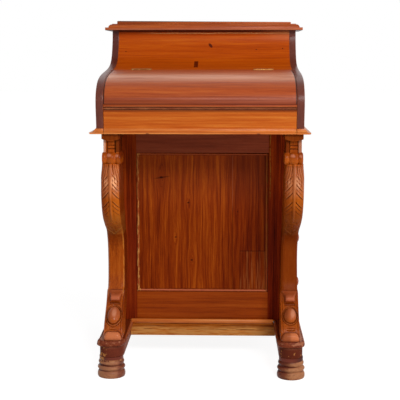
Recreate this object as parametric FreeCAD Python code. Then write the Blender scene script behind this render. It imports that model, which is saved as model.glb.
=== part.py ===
import FreeCAD, Part
import math
import os

# A davenport: a small desk with a serpentine body that overhangs a narrow pedestal.
# The pedestal holds four drawers that open to the right. Two carved bracket legs stand
# on the plinth's arms and carry the front of the body.
#
# Millimetres. +X is the sitter's right, +Y is the back and +Z is up. The origin is on the
# floor, under the middle of the desk's bounding box. "Setback" is a distance behind the
# belly, the body's foremost line, and "rise" is a height above the body's underside.

Vector = FreeCAD.Vector

# ---- Driving dimensions: the stack from the floor up ----
FOOT_HEIGHT = 54.0
PLINTH_HEIGHT = 44.0
PEDESTAL_HEIGHT = 520.0
TOP_THICK = 18.0
FLAP_THICK = 8.0

# ---- Body: two side boards cut to one serpentine line ----
BODY_WIDTH = 510.0
BODY_DEPTH = 567.0
SIDE_THICK = 18.0
BACK_THICK = 12.0
TOE_SETBACK = 8.0
BELLY_RISE = 80.0
HINGE_SETBACK = 241.0
HINGE_RISE = 153.5
UPPER_SETBACK = 391.0
COVE_TOP_RISE = 245.0
UPPER_STRAIGHT = 16.0
BELLY_FULL_DEPTH = 2.0
# Points that pull the front line, as shares of the run and the rise of each stretch: toe
# to belly, belly to hinge, and hinge to the top of the cove.
TOE_PULLS = ((1.0, 0.36), (0.0, 0.69))
LID_PULLS = ((0.017, 0.27), (0.083, 0.49), (0.2, 0.71), (0.5, 0.87), (0.85, 0.95))
COVE_PULLS = ((0.25, 0.04), (0.71, 0.18), (0.93, 0.6), (1.0, 0.92))
CURVE_SAMPLES = 40

# ---- Boards fixed between the side boards ----
BOTTOM_THICK = 14.0
BOTTOM_SETBACK = 30.0
COVE_THICK = 12.0
WELL_FLOOR_RISE = 60.0
WELL_FLOOR_THICK = 5.5
WELL_FLOOR_SETBACK = 4.0
SHELF_RISE = 120.0
SHELF_THICK = 6.0
HINGE_RAIL_DEPTH = 14.0
CASE_SETBACK = 262.0
CASE_DIVIDER_THICK = 6.0
INNER_DRAWER_BAY = 144.0
LETTER_DIVIDER_THICK = 5.0
LETTER_DIVIDER_PITCH = 112.0
LETTER_DIVIDER_COUNT = 3
LETTER_DIVIDER_HEIGHT = 112.0
LETTER_DIVIDER_SETBACK = 420.0

# ---- Moulded top frame and the flap over the stationery compartment ----
TOP_SIDE_OVERHANG = 18.0
TOP_FRONT_OVERHANG = 24.0
TOP_REAR_OVERHANG = 5.0
TOP_FILLET_HEIGHT = 7.5
TOP_FILLET_STEP = 8.0
TOP_OVOLO_WIDTH = 9.5
TOP_OVOLO_HEIGHT = 9.0
TOP_SIDE_MEMBER = 48.0
TOP_FRONT_MEMBER = 43.0
TOP_REAR_MEMBER = 24.0
FLAP_SIDE_MARGIN = 32.0
FLAP_FRONT_MARGIN = 16.0
FLAP_REAR_MARGIN = 16.0
FLAP_EDGE_ROUND = 2.5

# ---- Moulding round the foot of the body ----
BASE_MOULD_OUT = 14.0
BASE_MOULD_HEIGHT = 13.0
BASE_MOULD_FILLET = 4.0
BASE_MOULD_LIP = 2.0

# ---- Lid ----
LID_THICK = 16.0
LID_SIDE_GAP = 1.0
LID_HINGE_GAP = 0.8
LIP_HEIGHT = 7.0
LIP_PROUD = 1.5
LIP_ROUND = 2.8
LIP_GAP = 0.5
LID_HINGE_SPACING = 324.0

# ---- Butt hinges, the same for lid and flap ----
HINGE_LENGTH = 54.0
KNUCKLE_RADIUS = 2.6
KNUCKLE_LIFT = 0.8
PIN_RADIUS = 1.2
PIN_CLEARANCE = 0.05
KNUCKLE_END_GAP = 0.3
KNUCKLE_ROOM = 0.3
LEAF_THICK = 1.2
LEAF_WIDTH = 12.0
FLAP_HINGE_SPACING = 300.0

# ---- Writing slide ----
SLIDE_GAP = 1.0
SLIDE_FRONT_THICK = 18.0
SLIDE_BOARD_THICK = 14.0
SLIDE_BOARD_DEPTH = 374.0
SLIDE_HEADROOM = 4.0
SLIDE_RUNNER_WIDTH = 20.0
SLIDE_RUNNER_THICK = 13.0
SLIDE_RUN_GAP = 0.5
LEATHER_THICK = 1.2
LEATHER_SIDE_MARGIN = 30.0
LEATHER_FRONT_MARGIN = 20.0
LEATHER_REAR_MARGIN = 24.0

# ---- Pedestal ----
PEDESTAL_WIDTH = 480.0
PEDESTAL_SETBACK = 225.0
PEDESTAL_DEPTH = 320.0
FRAME_THICK = 20.0
STILE_WIDTH = 63.5
TOP_RAIL_HEIGHT = 66.0
BOTTOM_RAIL_HEIGHT = 77.0
SIDE_STILE_WIDTH = 52.0
PANEL_THICK = 8.0
PANEL_RECESS = 7.0
BEAD_WIDTH = 8.0
BEAD_CREST = 2.8
BEAD_SHY = 1.0
POST_WIDTH = 20.0
PEDESTAL_BACK_THICK = 12.0

# ---- Four drawers, from the bottom up, and what they run on ----
DRAWER_HEIGHTS = (114.0, 108.0, 102.0, 96.0)
DRAWER_RAIL_HEIGHT = 11.0
DRAWER_BOTTOM_RAIL = 29.0
DRAWER_GAP = 1.0
DRAWER_FRONT_THICK = 18.0
DRAWER_DEPTH = 420.0
DRAWER_SIDE_THICK = 10.0
DRAWER_BACK_THICK = 9.0
DRAWER_BOTTOM_THICK = 6.0
DRAWER_SIDE_DROP = 8.0
DRAWER_RUNNER_BEARING_WIDTH = 12.0
KNOB_SPACING = 150.0
KNOB_RADIUS = 13.0
KNOB_LENGTH = 26.0
KNOB_STEM_RADIUS = 6.0
KNOB_HEAD = 11.0
KNOB_FLARE = 2.0
KNOB_FACE_RADIUS = 1.5

# ---- Small drawer inside the well ----
INNER_DRAWER_DEPTH = 235.0
INNER_FRONT_THICK = 9.0
INNER_SIDE_THICK = 5.0
INNER_KNOB_RADIUS = 7.0
INNER_KNOB_LENGTH = 13.0
INNER_KNOB_STEM_RADIUS = 3.5
INNER_KNOB_HEAD = 5.5

# ---- Plinth: two arms, two rails and the moulding on them ----
ARM_SPACING = 454.0
ARM_WIDTH = 60.0
ARM_FRONT_SETBACK = 5.0
ARM_REAR_REACH = 12.0
ARM_MOULD_OUT = 6.0
ARM_MOULD_HEIGHT = 14.0
ARM_MOULD_ROUND = 5.0
PLINTH_RAIL_THICK = 20.0
PLINTH_RAIL_LIFT = 2.0
PLINTH_FRONT_REACH = 7.0
PLINTH_MOULD_OUT = 7.0
PLINTH_MOULD_ROUND = 3.5
PLINTH_MOULD_HEIGHT = 12.0

# ---- Turned feet ----
FOOT_RADIUS = 35.0
FOOT_SOLE_RADIUS = 25.0
FOOT_BUN_HEIGHT = 28.0
FOOT_BUN_BULGE = 15.5
FOOT_RING_RADIUS = 34.0
FOOT_RING_HEIGHT = 16.0
FOOT_WAIST_RADIUS = 29.0
FOOT_BEAD_RADIUS = 31.5
FOOT_GROOVE = 2.0

# ---- Bracket legs: setbacks and heights above the arm of their front and back lines ----
# The pair stands a little to the right of the desk's middle.
LEG_SPACING = 452.0
LEG_SHIFT = 4.5
LEG_WIDTH = 44.0
LEG_FRONT_PULLS = (
    (14.0, 0.0),
    (16.0, 24.0),
    (30.0, 42.0),
    (70.0, 69.0),
    (102.0, 103.0),
    (120.0, 136.0),
    (117.0, 220.0),
    (100.0, 256.0),
    (38.0, 300.0),
    (3.0, 350.0),
    (3.0, 400.0),
    (12.0, 445.0),
)
LEG_BACK_PULLS = (
    (92.0, 0.0),
    (104.0, 30.0),
    (150.0, 72.0),
    (184.0, 120.0),
    (187.0, 190.0),
    (174.0, 255.0),
    (122.0, 305.0),
    (90.0, 360.0),
    (86.0, 410.0),
    (86.0, 445.0),
)
LEG_CAP_WIDTH = 46.0
LEG_CAP_HEIGHT = 13.0
LEG_CAP_SETBACK = 4.0
LEG_CAP_DEPTH = 90.0
LEG_NECK_SETBACK = 14.0
LEG_NECK_DEPTH = 72.0
COLLAR_ROLL_RADIUS = 17.0
COLLAR_ROLL_SETBACK = 20.0
COLLAR_ROLL_DROP = 60.0
UPPER_SCROLL_RADIUS = 15.0
UPPER_SCROLL_SETBACK = 103.0
UPPER_SCROLL_HEIGHT = 93.0
LOWER_SCROLL_RADIUS = 12.0
LOWER_SCROLL_SETBACK = 19.0
LOWER_SCROLL_HEIGHT = 12.0
CABOCHON_SETBACK = 50.0
CABOCHON_HEIGHT = 54.0
CABOCHON_HALF = (14.0, 12.0, 21.0)

# ---- Places that follow from those sizes ----
ARM_BOTTOM = FOOT_HEIGHT
PLINTH_TOP = ARM_BOTTOM + PLINTH_HEIGHT
BODY_BOTTOM = PLINTH_TOP + PEDESTAL_HEIGHT
BODY_HEIGHT = COVE_TOP_RISE + UPPER_STRAIGHT
BODY_TOP = BODY_BOTTOM + BODY_HEIGHT
TOP_SURFACE = BODY_TOP + TOP_THICK
BASE_MOULD_REACH = BASE_MOULD_OUT - TOE_SETBACK
BELLY_Y = (BASE_MOULD_REACH - BODY_DEPTH - TOP_REAR_OVERHANG) / 2
BODY_BACK = BELLY_Y + BODY_DEPTH
BACK_FACE = BODY_BACK - BACK_THICK
SIDE_OUTER = BODY_WIDTH / 2
SIDE_INNER = SIDE_OUTER - SIDE_THICK
WELL_FLOOR_TOP = BODY_BOTTOM + WELL_FLOOR_RISE + WELL_FLOOR_THICK
SHELF_BOTTOM = BODY_BOTTOM + SHELF_RISE
SHELF_TOP = SHELF_BOTTOM + SHELF_THICK
HINGE_Y = BELLY_Y + HINGE_SETBACK
FLAP_REAR = BODY_BACK + TOP_REAR_OVERHANG - FLAP_REAR_MARGIN
FLAP_HINGE_Y = FLAP_REAR + LEAF_THICK + KNUCKLE_RADIUS + KNUCKLE_ROOM
FLAP_HINGE_Z = TOP_SURFACE + KNUCKLE_RADIUS + KNUCKLE_ROOM
LID_BOTTOM = WELL_FLOOR_TOP + LIP_GAP + LIP_HEIGHT
PEDESTAL_FRONT = BELLY_Y + PEDESTAL_SETBACK
PEDESTAL_BACK = PEDESTAL_FRONT + PEDESTAL_DEPTH
PEDESTAL_SIDE = PEDESTAL_WIDTH / 2
OPENING_HALF = PEDESTAL_SIDE - STILE_WIDTH
OPENING_BOTTOM = PLINTH_TOP + BOTTOM_RAIL_HEIGHT
OPENING_TOP = BODY_BOTTOM - TOP_RAIL_HEIGHT
DRAWER_BAY_FRONT = PEDESTAL_FRONT + FRAME_THICK + POST_WIDTH
DRAWER_BAY_BACK = PEDESTAL_BACK - POST_WIDTH
DRAWER_BAY_MIDDLE = (DRAWER_BAY_FRONT + DRAWER_BAY_BACK) / 2
ARM_MIDDLE = ARM_SPACING / 2
ARM_END_Y = BELLY_Y + ARM_FRONT_SETBACK + ARM_WIDTH / 2
ARM_BACK = PEDESTAL_BACK + ARM_REAR_REACH
REAR_FOOT_Y = ARM_BACK - ARM_WIDTH / 2


def board(x0, x1, y0, y1, z0, z1):
    """A square-edged board between two opposite corners."""
    return Part.makeBox(x1 - x0, y1 - y0, z1 - z0, Vector(x0, y0, z0))


def rod_x(radius, x0, x1, y, z):
    """A round rod that lies along X."""
    return Part.makeCylinder(radius, x1 - x0, Vector(x0, y, z), Vector(1, 0, 0))


def mirrored(shape):
    """The same piece for the other side of the desk."""
    return shape.mirror(Vector(0, 0, 0), Vector(1, 0, 0))


def group(shapes):
    """Separate pieces that share one node."""
    return Part.makeCompound(shapes)


def closed_wire(place, steps):
    """A closed outline. A step of two numbers is a straight run to that point, and a step
    of four is an arc through its first point to its second."""
    edges = []
    here = place(*steps[0])
    for step in steps[1:] + steps[:1]:
        there = place(*step[-2:])
        if len(step) == 4:
            edges.append(Part.Arc(here, place(*step[:2]), there).toShape())
        else:
            edges.append(Part.LineSegment(here, there).toShape())
        here = there
    return Part.Wire(edges)


def quarter_round(start, end, centre):
    """A step that curves from one point to another about a centre, a quarter turn."""
    share = math.sqrt(0.5)
    middle = [c + share * (a - c) + share * (b - c) for a, b, c in zip(start, end, centre)]
    return (middle[0], middle[1], end[0], end[1])


def turned(steps, origin, axis, across):
    """A turning: steps of (radius, length) spun about an axis that starts at the origin."""
    wire = closed_wire(lambda radius, along: origin + across * radius + axis * along, steps)
    return Part.Face(wire).revolve(origin, axis, 360)


def pulled_line(points):
    """A smooth curve that starts and ends at its end points and is pulled by the others."""
    curve = Part.BSplineCurve()
    curve.buildFromPoles(points, False, 3)
    return curve


def body_point(setback, rise):
    """A point of the body's side view."""
    return Vector(0, BELLY_Y + setback, BODY_BOTTOM + rise)


def serpentine():
    """The body's front line: toe, belly, nose, lid, hinge, cove and upper front edge."""
    lid_rise = HINGE_RISE - BELLY_RISE
    cove_run = UPPER_SETBACK - HINGE_SETBACK
    cove_rise = COVE_TOP_RISE - HINGE_RISE
    points = [body_point(TOE_SETBACK, 0)]
    for run, rise in TOE_PULLS:
        points.append(body_point(TOE_SETBACK * run, BELLY_RISE * rise))
    points.append(body_point(-BELLY_FULL_DEPTH, BELLY_RISE))
    for run, rise in LID_PULLS:
        points.append(body_point(HINGE_SETBACK * run, BELLY_RISE + lid_rise * rise))
    for run, rise in COVE_PULLS:
        points.append(body_point(HINGE_SETBACK + cove_run * run, HINGE_RISE + cove_rise * rise))
    points.append(body_point(UPPER_SETBACK, COVE_TOP_RISE))
    return pulled_line(points)


def face_height(y):
    """How high the front line is where it crosses a distance along Y, behind the belly."""
    curve = serpentine()
    low = curve.parameter(body_point(0, BELLY_RISE))
    high = curve.LastParameter
    while high - low > 1e-9:
        middle = (low + high) / 2
        if curve.value(middle).y < y:
            low = middle
        else:
            high = middle
    return curve.value(low).z


HINGE_Z = face_height(HINGE_Y) + KNUCKLE_LIFT


def serpentine_band(thick, x0, x1, proud=0.0):
    """A board bent to the whole front line, from its face to a thickness behind it."""
    curve = serpentine()
    lines = []
    for depth in (-proud, thick):
        points = []
        for i in range(CURVE_SAMPLES + 1):
            u = curve.FirstParameter + (curve.LastParameter - curve.FirstParameter) * i / CURVE_SAMPLES
            tangent = curve.tangent(u)[0]
            inward = Vector(0, tangent.z, -tangent.y)
            points.append(Vector(x0, 0, 0) + curve.value(u) + inward * depth)
        line = Part.BSplineCurve()
        line.interpolate(points)
        lines.append((line, points[-1] + Vector(0, 0, UPPER_STRAIGHT)))
    (face_line, face_top), (back_line, back_top) = lines
    edges = [
        face_line.toShape(),
        Part.LineSegment(face_line.EndPoint, face_top).toShape(),
        Part.LineSegment(face_top, back_top).toShape(),
        Part.LineSegment(back_top, back_line.EndPoint).toShape(),
        back_line.toShape(),
        Part.LineSegment(back_line.StartPoint, face_line.StartPoint).toShape(),
    ]
    return Part.Face(Part.Wire(edges)).extrude(Vector(x1 - x0, 0, 0))


def side_board():
    """One of the two side boards, whose front edge is the serpentine line."""
    curve = serpentine()
    corners = [curve.EndPoint, body_point(UPPER_SETBACK, BODY_HEIGHT),
               body_point(BODY_DEPTH, BODY_HEIGHT), body_point(BODY_DEPTH, 0), curve.StartPoint]
    edges = [curve.toShape()]
    for here, there in zip(corners, corners[1:]):
        edges.append(Part.LineSegment(here, there).toShape())
    face = Part.Face(Part.Wire(edges))
    face.translate(Vector(SIDE_INNER, 0, 0))
    return face.extrude(Vector(SIDE_THICK, 0, 0))


def moulded_half(half_width, front, back, bottom, profile):
    """The right half of a slab with a moulded front and right edge. The profile's steps go
    out from the slab's square edge and up from its underside."""
    height = profile[-1][-1]

    def edge_steps(edge, inside, sign):
        steps = [(inside, bottom)]
        for step in profile:
            placed = [edge + sign * step[0], bottom + step[1]]
            if len(step) == 4:
                placed += [edge + sign * step[2], bottom + step[3]]
            steps.append(tuple(placed))
        steps.append((inside, bottom + height))
        return steps

    side_wire = closed_wire(lambda a, b: Vector(a, front - half_width, b), edge_steps(half_width, 0.0, 1))
    side_slab = Part.Face(side_wire).extrude(Vector(0, back - front + half_width, 0))
    front_wire = closed_wire(lambda a, b: Vector(0, a, b), edge_steps(front, back, -1))
    front_slab = Part.Face(front_wire).extrude(Vector(half_width * 2, 0, 0))
    return side_slab.common(front_slab)


def base_moulding_half():
    """The cavetto moulding round the foot of the body."""
    neck = BASE_MOULD_LIP
    foot = (BASE_MOULD_OUT - neck, BASE_MOULD_FILLET)
    top = (neck, BASE_MOULD_HEIGHT - neck)
    profile = [
        (BASE_MOULD_OUT, 0.0),
        (BASE_MOULD_OUT, BASE_MOULD_FILLET),
        foot,
        quarter_round(foot, top, (foot[0], top[1])),
        (neck, BASE_MOULD_HEIGHT),
    ]
    return moulded_half(SIDE_OUTER, BELLY_Y + TOE_SETBACK, BODY_BACK, BODY_BOTTOM, profile)


def body_boards():
    """Boards of the body that never move."""
    side = side_board()
    back = board(-SIDE_INNER, SIDE_INNER, BACK_FACE, BODY_BACK, BODY_BOTTOM, BODY_TOP)
    bottom = board(-SIDE_INNER, SIDE_INNER, BELLY_Y + BOTTOM_SETBACK, BACK_FACE,
                   BODY_BOTTOM, BODY_BOTTOM + BOTTOM_THICK)
    floor = board(-SIDE_INNER, SIDE_INNER, BELLY_Y + WELL_FLOOR_SETBACK, BACK_FACE,
                  WELL_FLOOR_TOP - WELL_FLOOR_THICK, WELL_FLOOR_TOP)
    cove_front = HINGE_Y + LID_HINGE_GAP / 2
    cove_room = board(-SIDE_INNER, SIDE_INNER, cove_front, BACK_FACE, SHELF_TOP, BODY_TOP)
    cove = serpentine_band(COVE_THICK, -SIDE_INNER, SIDE_INNER).common(cove_room)
    rail = board(-SIDE_INNER, SIDE_INNER, cove_front, cove_front + HINGE_RAIL_DEPTH, SHELF_TOP, HINGE_Z)
    rail = rail.cut(serpentine_band(COVE_THICK, -SIDE_INNER, SIDE_INNER, KNUCKLE_RADIUS * 2))
    shelf = board(-SIDE_INNER, SIDE_INNER, cove_front, BACK_FACE, SHELF_BOTTOM, SHELF_TOP)
    return {
        "side_board_right": side,
        "side_board_left": mirrored(side),
        "body_back": back,
        "body_bottom": bottom,
        "well_floor": floor,
        "cove_panel": cove,
        "hinge_rail": rail,
        "compartment_shelf": shelf,
    }


def dividers():
    """Upright divisions in the well's case and in the stationery compartment above it."""
    inner = INNER_DRAWER_BAY / 2
    case = board(inner, inner + CASE_DIVIDER_THICK, BELLY_Y + CASE_SETBACK, BACK_FACE,
                 WELL_FLOOR_TOP, SHELF_BOTTOM)
    letters = []
    for i in range(LETTER_DIVIDER_COUNT):
        x = (i - (LETTER_DIVIDER_COUNT - 1) / 2) * LETTER_DIVIDER_PITCH
        letters.append(board(x - LETTER_DIVIDER_THICK / 2, x + LETTER_DIVIDER_THICK / 2,
                             BELLY_Y + LETTER_DIVIDER_SETBACK, BACK_FACE,
                             SHELF_TOP, SHELF_TOP + LETTER_DIVIDER_HEIGHT))
    return {
        "case_dividers": group([case, mirrored(case)]),
        "letter_dividers": group(letters),
    }


def top_frame():
    """The moulded top: four members round the mouth of the stationery compartment."""
    foot = (TOP_SIDE_OVERHANG - TOP_FILLET_STEP, TOP_FILLET_HEIGHT)
    crown = (foot[0] - TOP_OVOLO_WIDTH, foot[1] + TOP_OVOLO_HEIGHT)
    profile = [
        (TOP_SIDE_OVERHANG, 0.0),
        (TOP_SIDE_OVERHANG, TOP_FILLET_HEIGHT),
        foot,
        quarter_round(foot, crown, (crown[0], foot[1])),
        (crown[0], TOP_THICK),
    ]
    slab_front = BELLY_Y + UPPER_SETBACK - TOP_FRONT_OVERHANG + TOP_SIDE_OVERHANG
    slab_back = BODY_BACK + TOP_REAR_OVERHANG
    half = moulded_half(SIDE_OUTER, slab_front, slab_back, BODY_TOP, profile)
    mouth_side = SIDE_OUTER + TOP_SIDE_OVERHANG - TOP_SIDE_MEMBER
    mouth_front = slab_front - TOP_SIDE_OVERHANG + TOP_FRONT_MEMBER
    mouth_back = slab_back - TOP_REAR_MEMBER
    reach = SIDE_OUTER + TOP_SIDE_OVERHANG
    front = half.common(board(0, reach, slab_front - reach, mouth_front, BODY_TOP, TOP_SURFACE))
    rear = half.common(board(0, reach, mouth_back, slab_back, BODY_TOP, TOP_SURFACE))
    side = half.common(board(mouth_side, reach, mouth_front, mouth_back, BODY_TOP, TOP_SURFACE))
    members = [
        front.fuse(mirrored(front)).removeSplitter(),
        rear.fuse(mirrored(rear)).removeSplitter(),
        side,
        mirrored(side),
    ]
    return {"top_frame": group([member.Solids[0] for member in members])}


def side_mouldings():
    """Base moulding along each side board, with its return across the board's front edge."""
    half = base_moulding_half().cut(side_board())
    outside = board(SIDE_INNER, SIDE_OUTER + BASE_MOULD_OUT, BELLY_Y - BASE_MOULD_REACH, BODY_BACK,
                    BODY_BOTTOM, BODY_BOTTOM + BASE_MOULD_HEIGHT)
    right = half.common(outside).Solids[0]
    return {"side_moulding_right": right, "side_moulding_left": mirrored(right)}


def butt_hinge(x, y, z, fixed_leaf, moving_leaf):
    """A three-knuckle hinge: the fixed leaf with its outer knuckles and pin, and the moving
    leaf with the middle knuckle. Each leaf is cut clear of the other's knuckles."""
    start = x - HINGE_LENGTH / 2
    end = x + HINGE_LENGTH / 2
    middle_start = start + HINGE_LENGTH / 3
    middle_end = end - HINGE_LENGTH / 3
    room = KNUCKLE_RADIUS + KNUCKLE_ROOM
    outer_room = rod_x(room, start, middle_start + KNUCKLE_END_GAP, y, z)
    outer_room = outer_room.fuse(rod_x(room, middle_end - KNUCKLE_END_GAP, end, y, z))
    fixed = fixed_leaf.cut(rod_x(room, middle_start, middle_end, y, z))
    fixed = fixed.fuse([
        rod_x(KNUCKLE_RADIUS, start, middle_start, y, z),
        rod_x(KNUCKLE_RADIUS, middle_end, end, y, z),
        rod_x(PIN_RADIUS, start, end, y, z),
    ])
    moving = moving_leaf.cut(outer_room)
    moving = moving.fuse(rod_x(KNUCKLE_RADIUS, middle_start + KNUCKLE_END_GAP,
                               middle_end - KNUCKLE_END_GAP, y, z))
    moving = moving.cut(rod_x(PIN_RADIUS + PIN_CLEARANCE, start, end, y, z))
    return fixed.removeSplitter().Solids[0], moving.removeSplitter().Solids[0]


def lid_and_hinges():
    """The lid over the writing well, with its bead lip and pair of brass butts."""
    half = SIDE_INNER - LID_SIDE_GAP
    rear = HINGE_Y - LID_HINGE_GAP / 2
    lid_room = board(-half, half, BELLY_Y - BASE_MOULD_REACH, rear, LID_BOTTOM, HINGE_Z)
    panel = serpentine_band(LID_THICK, -half, half).common(lid_room)
    lip_room = board(-half, half, BELLY_Y - BASE_MOULD_REACH, BELLY_Y + LID_THICK,
                     LID_BOTTOM - LIP_HEIGHT, LID_BOTTOM)
    lip = serpentine_band(LID_THICK, -half, half, LIP_PROUD).common(lip_room)
    front_edges = [e for e in lip.Edges if e.BoundBox.XLength > half and e.CenterOfMass.y < BELLY_Y]
    lip = lip.makeFillet(LIP_ROUND, front_edges)
    fixed_leaves = []
    moving_leaves = []
    cove_cut = []
    for side in (-1, 1):
        x = side * LID_HINGE_SPACING / 2
        x0 = x - HINGE_LENGTH / 2
        x1 = x + HINGE_LENGTH / 2
        top = HINGE_Z
        low = HINGE_Z - LEAF_WIDTH
        near = HINGE_Y + LID_HINGE_GAP / 2
        fixed_leaf = board(x0, x1, near, near + LEAF_THICK, low, top)
        moving_leaf = board(x0, x1, rear - LEAF_THICK, rear, low, top)
        notch = rod_x(KNUCKLE_RADIUS + KNUCKLE_ROOM, x0 - KNUCKLE_ROOM, x1 + KNUCKLE_ROOM, HINGE_Y, HINGE_Z)
        fixed, moving = butt_hinge(x, HINGE_Y, HINGE_Z, fixed_leaf, moving_leaf)
        fixed_leaves.append(fixed)
        moving_leaves.append(moving)
        cove_cut += [fixed_leaf, notch]
        panel = panel.cut([moving_leaf, notch])
    nodes = {
        "lid_panel": panel.Solids[0],
        "lid_lip": lip.Solids[0],
        "lid_hinge_leaves": group(moving_leaves),
        "lid_hinge_plates": group(fixed_leaves),
    }
    return nodes, cove_cut


def flap_and_hinges():
    """The flap that covers the stationery compartment, hinged along its back edge."""
    half = SIDE_OUTER + TOP_SIDE_OVERHANG - FLAP_SIDE_MARGIN
    front = BELLY_Y + UPPER_SETBACK - TOP_FRONT_OVERHANG + FLAP_FRONT_MARGIN
    panel = board(-half, half, front, FLAP_REAR, TOP_SURFACE, TOP_SURFACE + FLAP_THICK)
    rounded = [e for e in panel.Edges if e.CenterOfMass.z > TOP_SURFACE + FLAP_THICK / 2
               and e.CenterOfMass.y < FLAP_REAR and e.BoundBox.ZLength < FLAP_THICK / 2]
    panel = panel.makeFillet(FLAP_EDGE_ROUND, rounded)
    fixed_leaves = []
    moving_leaves = []
    for side in (-1, 1):
        x = side * FLAP_HINGE_SPACING / 2
        x0 = x - HINGE_LENGTH / 2
        x1 = x + HINGE_LENGTH / 2
        leaf_top = TOP_SURFACE + FLAP_THICK - KNUCKLE_ROOM
        moving_leaf = board(x0, x1, FLAP_REAR, FLAP_REAR + LEAF_THICK, TOP_SURFACE + KNUCKLE_ROOM, leaf_top)
        link = board(x0, x1, FLAP_REAR, FLAP_HINGE_Y,
                     FLAP_HINGE_Z - LEAF_THICK / 2, FLAP_HINGE_Z + LEAF_THICK / 2)
        fixed_leaf = board(x0, x1, FLAP_HINGE_Y, FLAP_HINGE_Y + LEAF_WIDTH - KNUCKLE_RADIUS,
                           TOP_SURFACE, TOP_SURFACE + LEAF_THICK)
        fixed, moving = butt_hinge(x, FLAP_HINGE_Y, FLAP_HINGE_Z, fixed_leaf, moving_leaf.fuse(link))
        fixed_leaves.append(fixed)
        moving_leaves.append(moving)
    return {
        "flap_panel": panel,
        "flap_hinge_leaves": group(moving_leaves),
        "flap_hinge_plates": group(fixed_leaves),
    }


def writing_slide():
    """The writing slide that pulls out under the lid, and the runners that carry it."""
    half = SIDE_INNER - SLIDE_GAP
    floor_bottom = WELL_FLOOR_TOP - WELL_FLOOR_THICK
    mould_top = BODY_BOTTOM + BASE_MOULD_HEIGHT
    front_room = board(-half, half, BELLY_Y - BASE_MOULD_REACH, BELLY_Y + BOTTOM_SETBACK,
                       mould_top, floor_bottom - SLIDE_GAP)
    front = serpentine_band(SLIDE_FRONT_THICK, -half, half).common(front_room).Solids[0]
    front_back = front.BoundBox.YMin + SLIDE_FRONT_THICK
    front = front.cut(board(-half, half, front_back, BACK_FACE, BODY_BOTTOM, BODY_TOP))
    mould = base_moulding_half()
    mould = mould.fuse(mirrored(mould)).removeSplitter()
    mould = mould.common(board(-half, half, BELLY_Y - BASE_MOULD_REACH, front_back,
                               BODY_BOTTOM + SLIDE_RUN_GAP, mould_top)).Solids[0]
    board_top = floor_bottom - SLIDE_HEADROOM
    board_bottom = board_top - SLIDE_BOARD_THICK
    rear = front_back + SLIDE_BOARD_DEPTH
    leather = board(-half + LEATHER_SIDE_MARGIN, half - LEATHER_SIDE_MARGIN,
                    front_back + LEATHER_FRONT_MARGIN, rear - LEATHER_REAR_MARGIN,
                    board_top - LEATHER_THICK, board_top)
    slab = board(-half, half, front_back, rear, board_bottom, board_top).cut(leather)
    runner = board(SIDE_INNER - SLIDE_RUNNER_WIDTH, SIDE_INNER, BELLY_Y + BOTTOM_SETBACK, BACK_FACE,
                   board_bottom - SLIDE_RUN_GAP - SLIDE_RUNNER_THICK, board_bottom - SLIDE_RUN_GAP)
    return {
        "slide_front": front,
        "slide_moulding": mould,
        "slide_board": slab,
        "slide_leather": leather,
        "slide_runners": group([runner, mirrored(runner)]),
    }


def framed_panel(span, low, high, frame_face, place):
    """A panel and its four mitred beads inside a frame's opening, from one edge of the
    opening to the other. place turns (across, depth, height) into a point of the desk."""
    start, end = span
    bead_face = frame_face + BEAD_SHY
    panel_face = frame_face + PANEL_RECESS
    low_corner = place(start, panel_face, low)
    size = place(end, panel_face + PANEL_THICK, high) - low_corner
    panel = Part.makeBox(size.x, size.y, size.z, low_corner)

    def corners(inset):
        return [(start + inset, low + inset), (end - inset, low + inset),
                (end - inset, high - inset), (start + inset, high - inset)]

    def ring(inset, face):
        points = [place(across, face, height) for across, height in corners(inset)]
        return Part.makePolygon(points + points[:1])

    outside = Part.makeLoft([ring(0, panel_face), ring(0, bead_face)], True, True)
    inside = Part.makeLoft([ring(BEAD_WIDTH, panel_face), ring(BEAD_CREST, bead_face)], True, True)
    beading = outside.cut(inside)
    through = place(0, bead_face, 0) - place(0, panel_face, 0)
    outer = corners(0)
    inner = corners(BEAD_WIDTH)
    beads = []
    for i in range(4):
        j = (i + 1) % 4
        plan = [outer[i], outer[j], inner[j], inner[i], outer[i]]
        outline = Part.makePolygon([place(across, panel_face, height) for across, height in plan])
        beads.append(beading.common(Part.Face(outline).extrude(through)).Solids[0])
    return panel, group(beads)


def pedestal_front():
    """The pedestal's front: stiles, rails, and one sunk panel with its beading."""
    face = PEDESTAL_FRONT
    back = face + FRAME_THICK
    stile = board(OPENING_HALF, PEDESTAL_SIDE, face, back, PLINTH_TOP, BODY_BOTTOM)
    top_rail = board(-OPENING_HALF, OPENING_HALF, face, back, OPENING_TOP, BODY_BOTTOM)
    bottom_rail = board(-OPENING_HALF, OPENING_HALF, face, back, PLINTH_TOP, OPENING_BOTTOM)
    panel, beading = framed_panel((-OPENING_HALF, OPENING_HALF), OPENING_BOTTOM, OPENING_TOP, face,
                                  lambda across, depth, height: Vector(across, depth, height))
    return {
        "front_stiles": group([stile, mirrored(stile)]),
        "front_rails": group([top_rail, bottom_rail]),
        "front_panel": panel,
        "front_beading": beading,
    }


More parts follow.
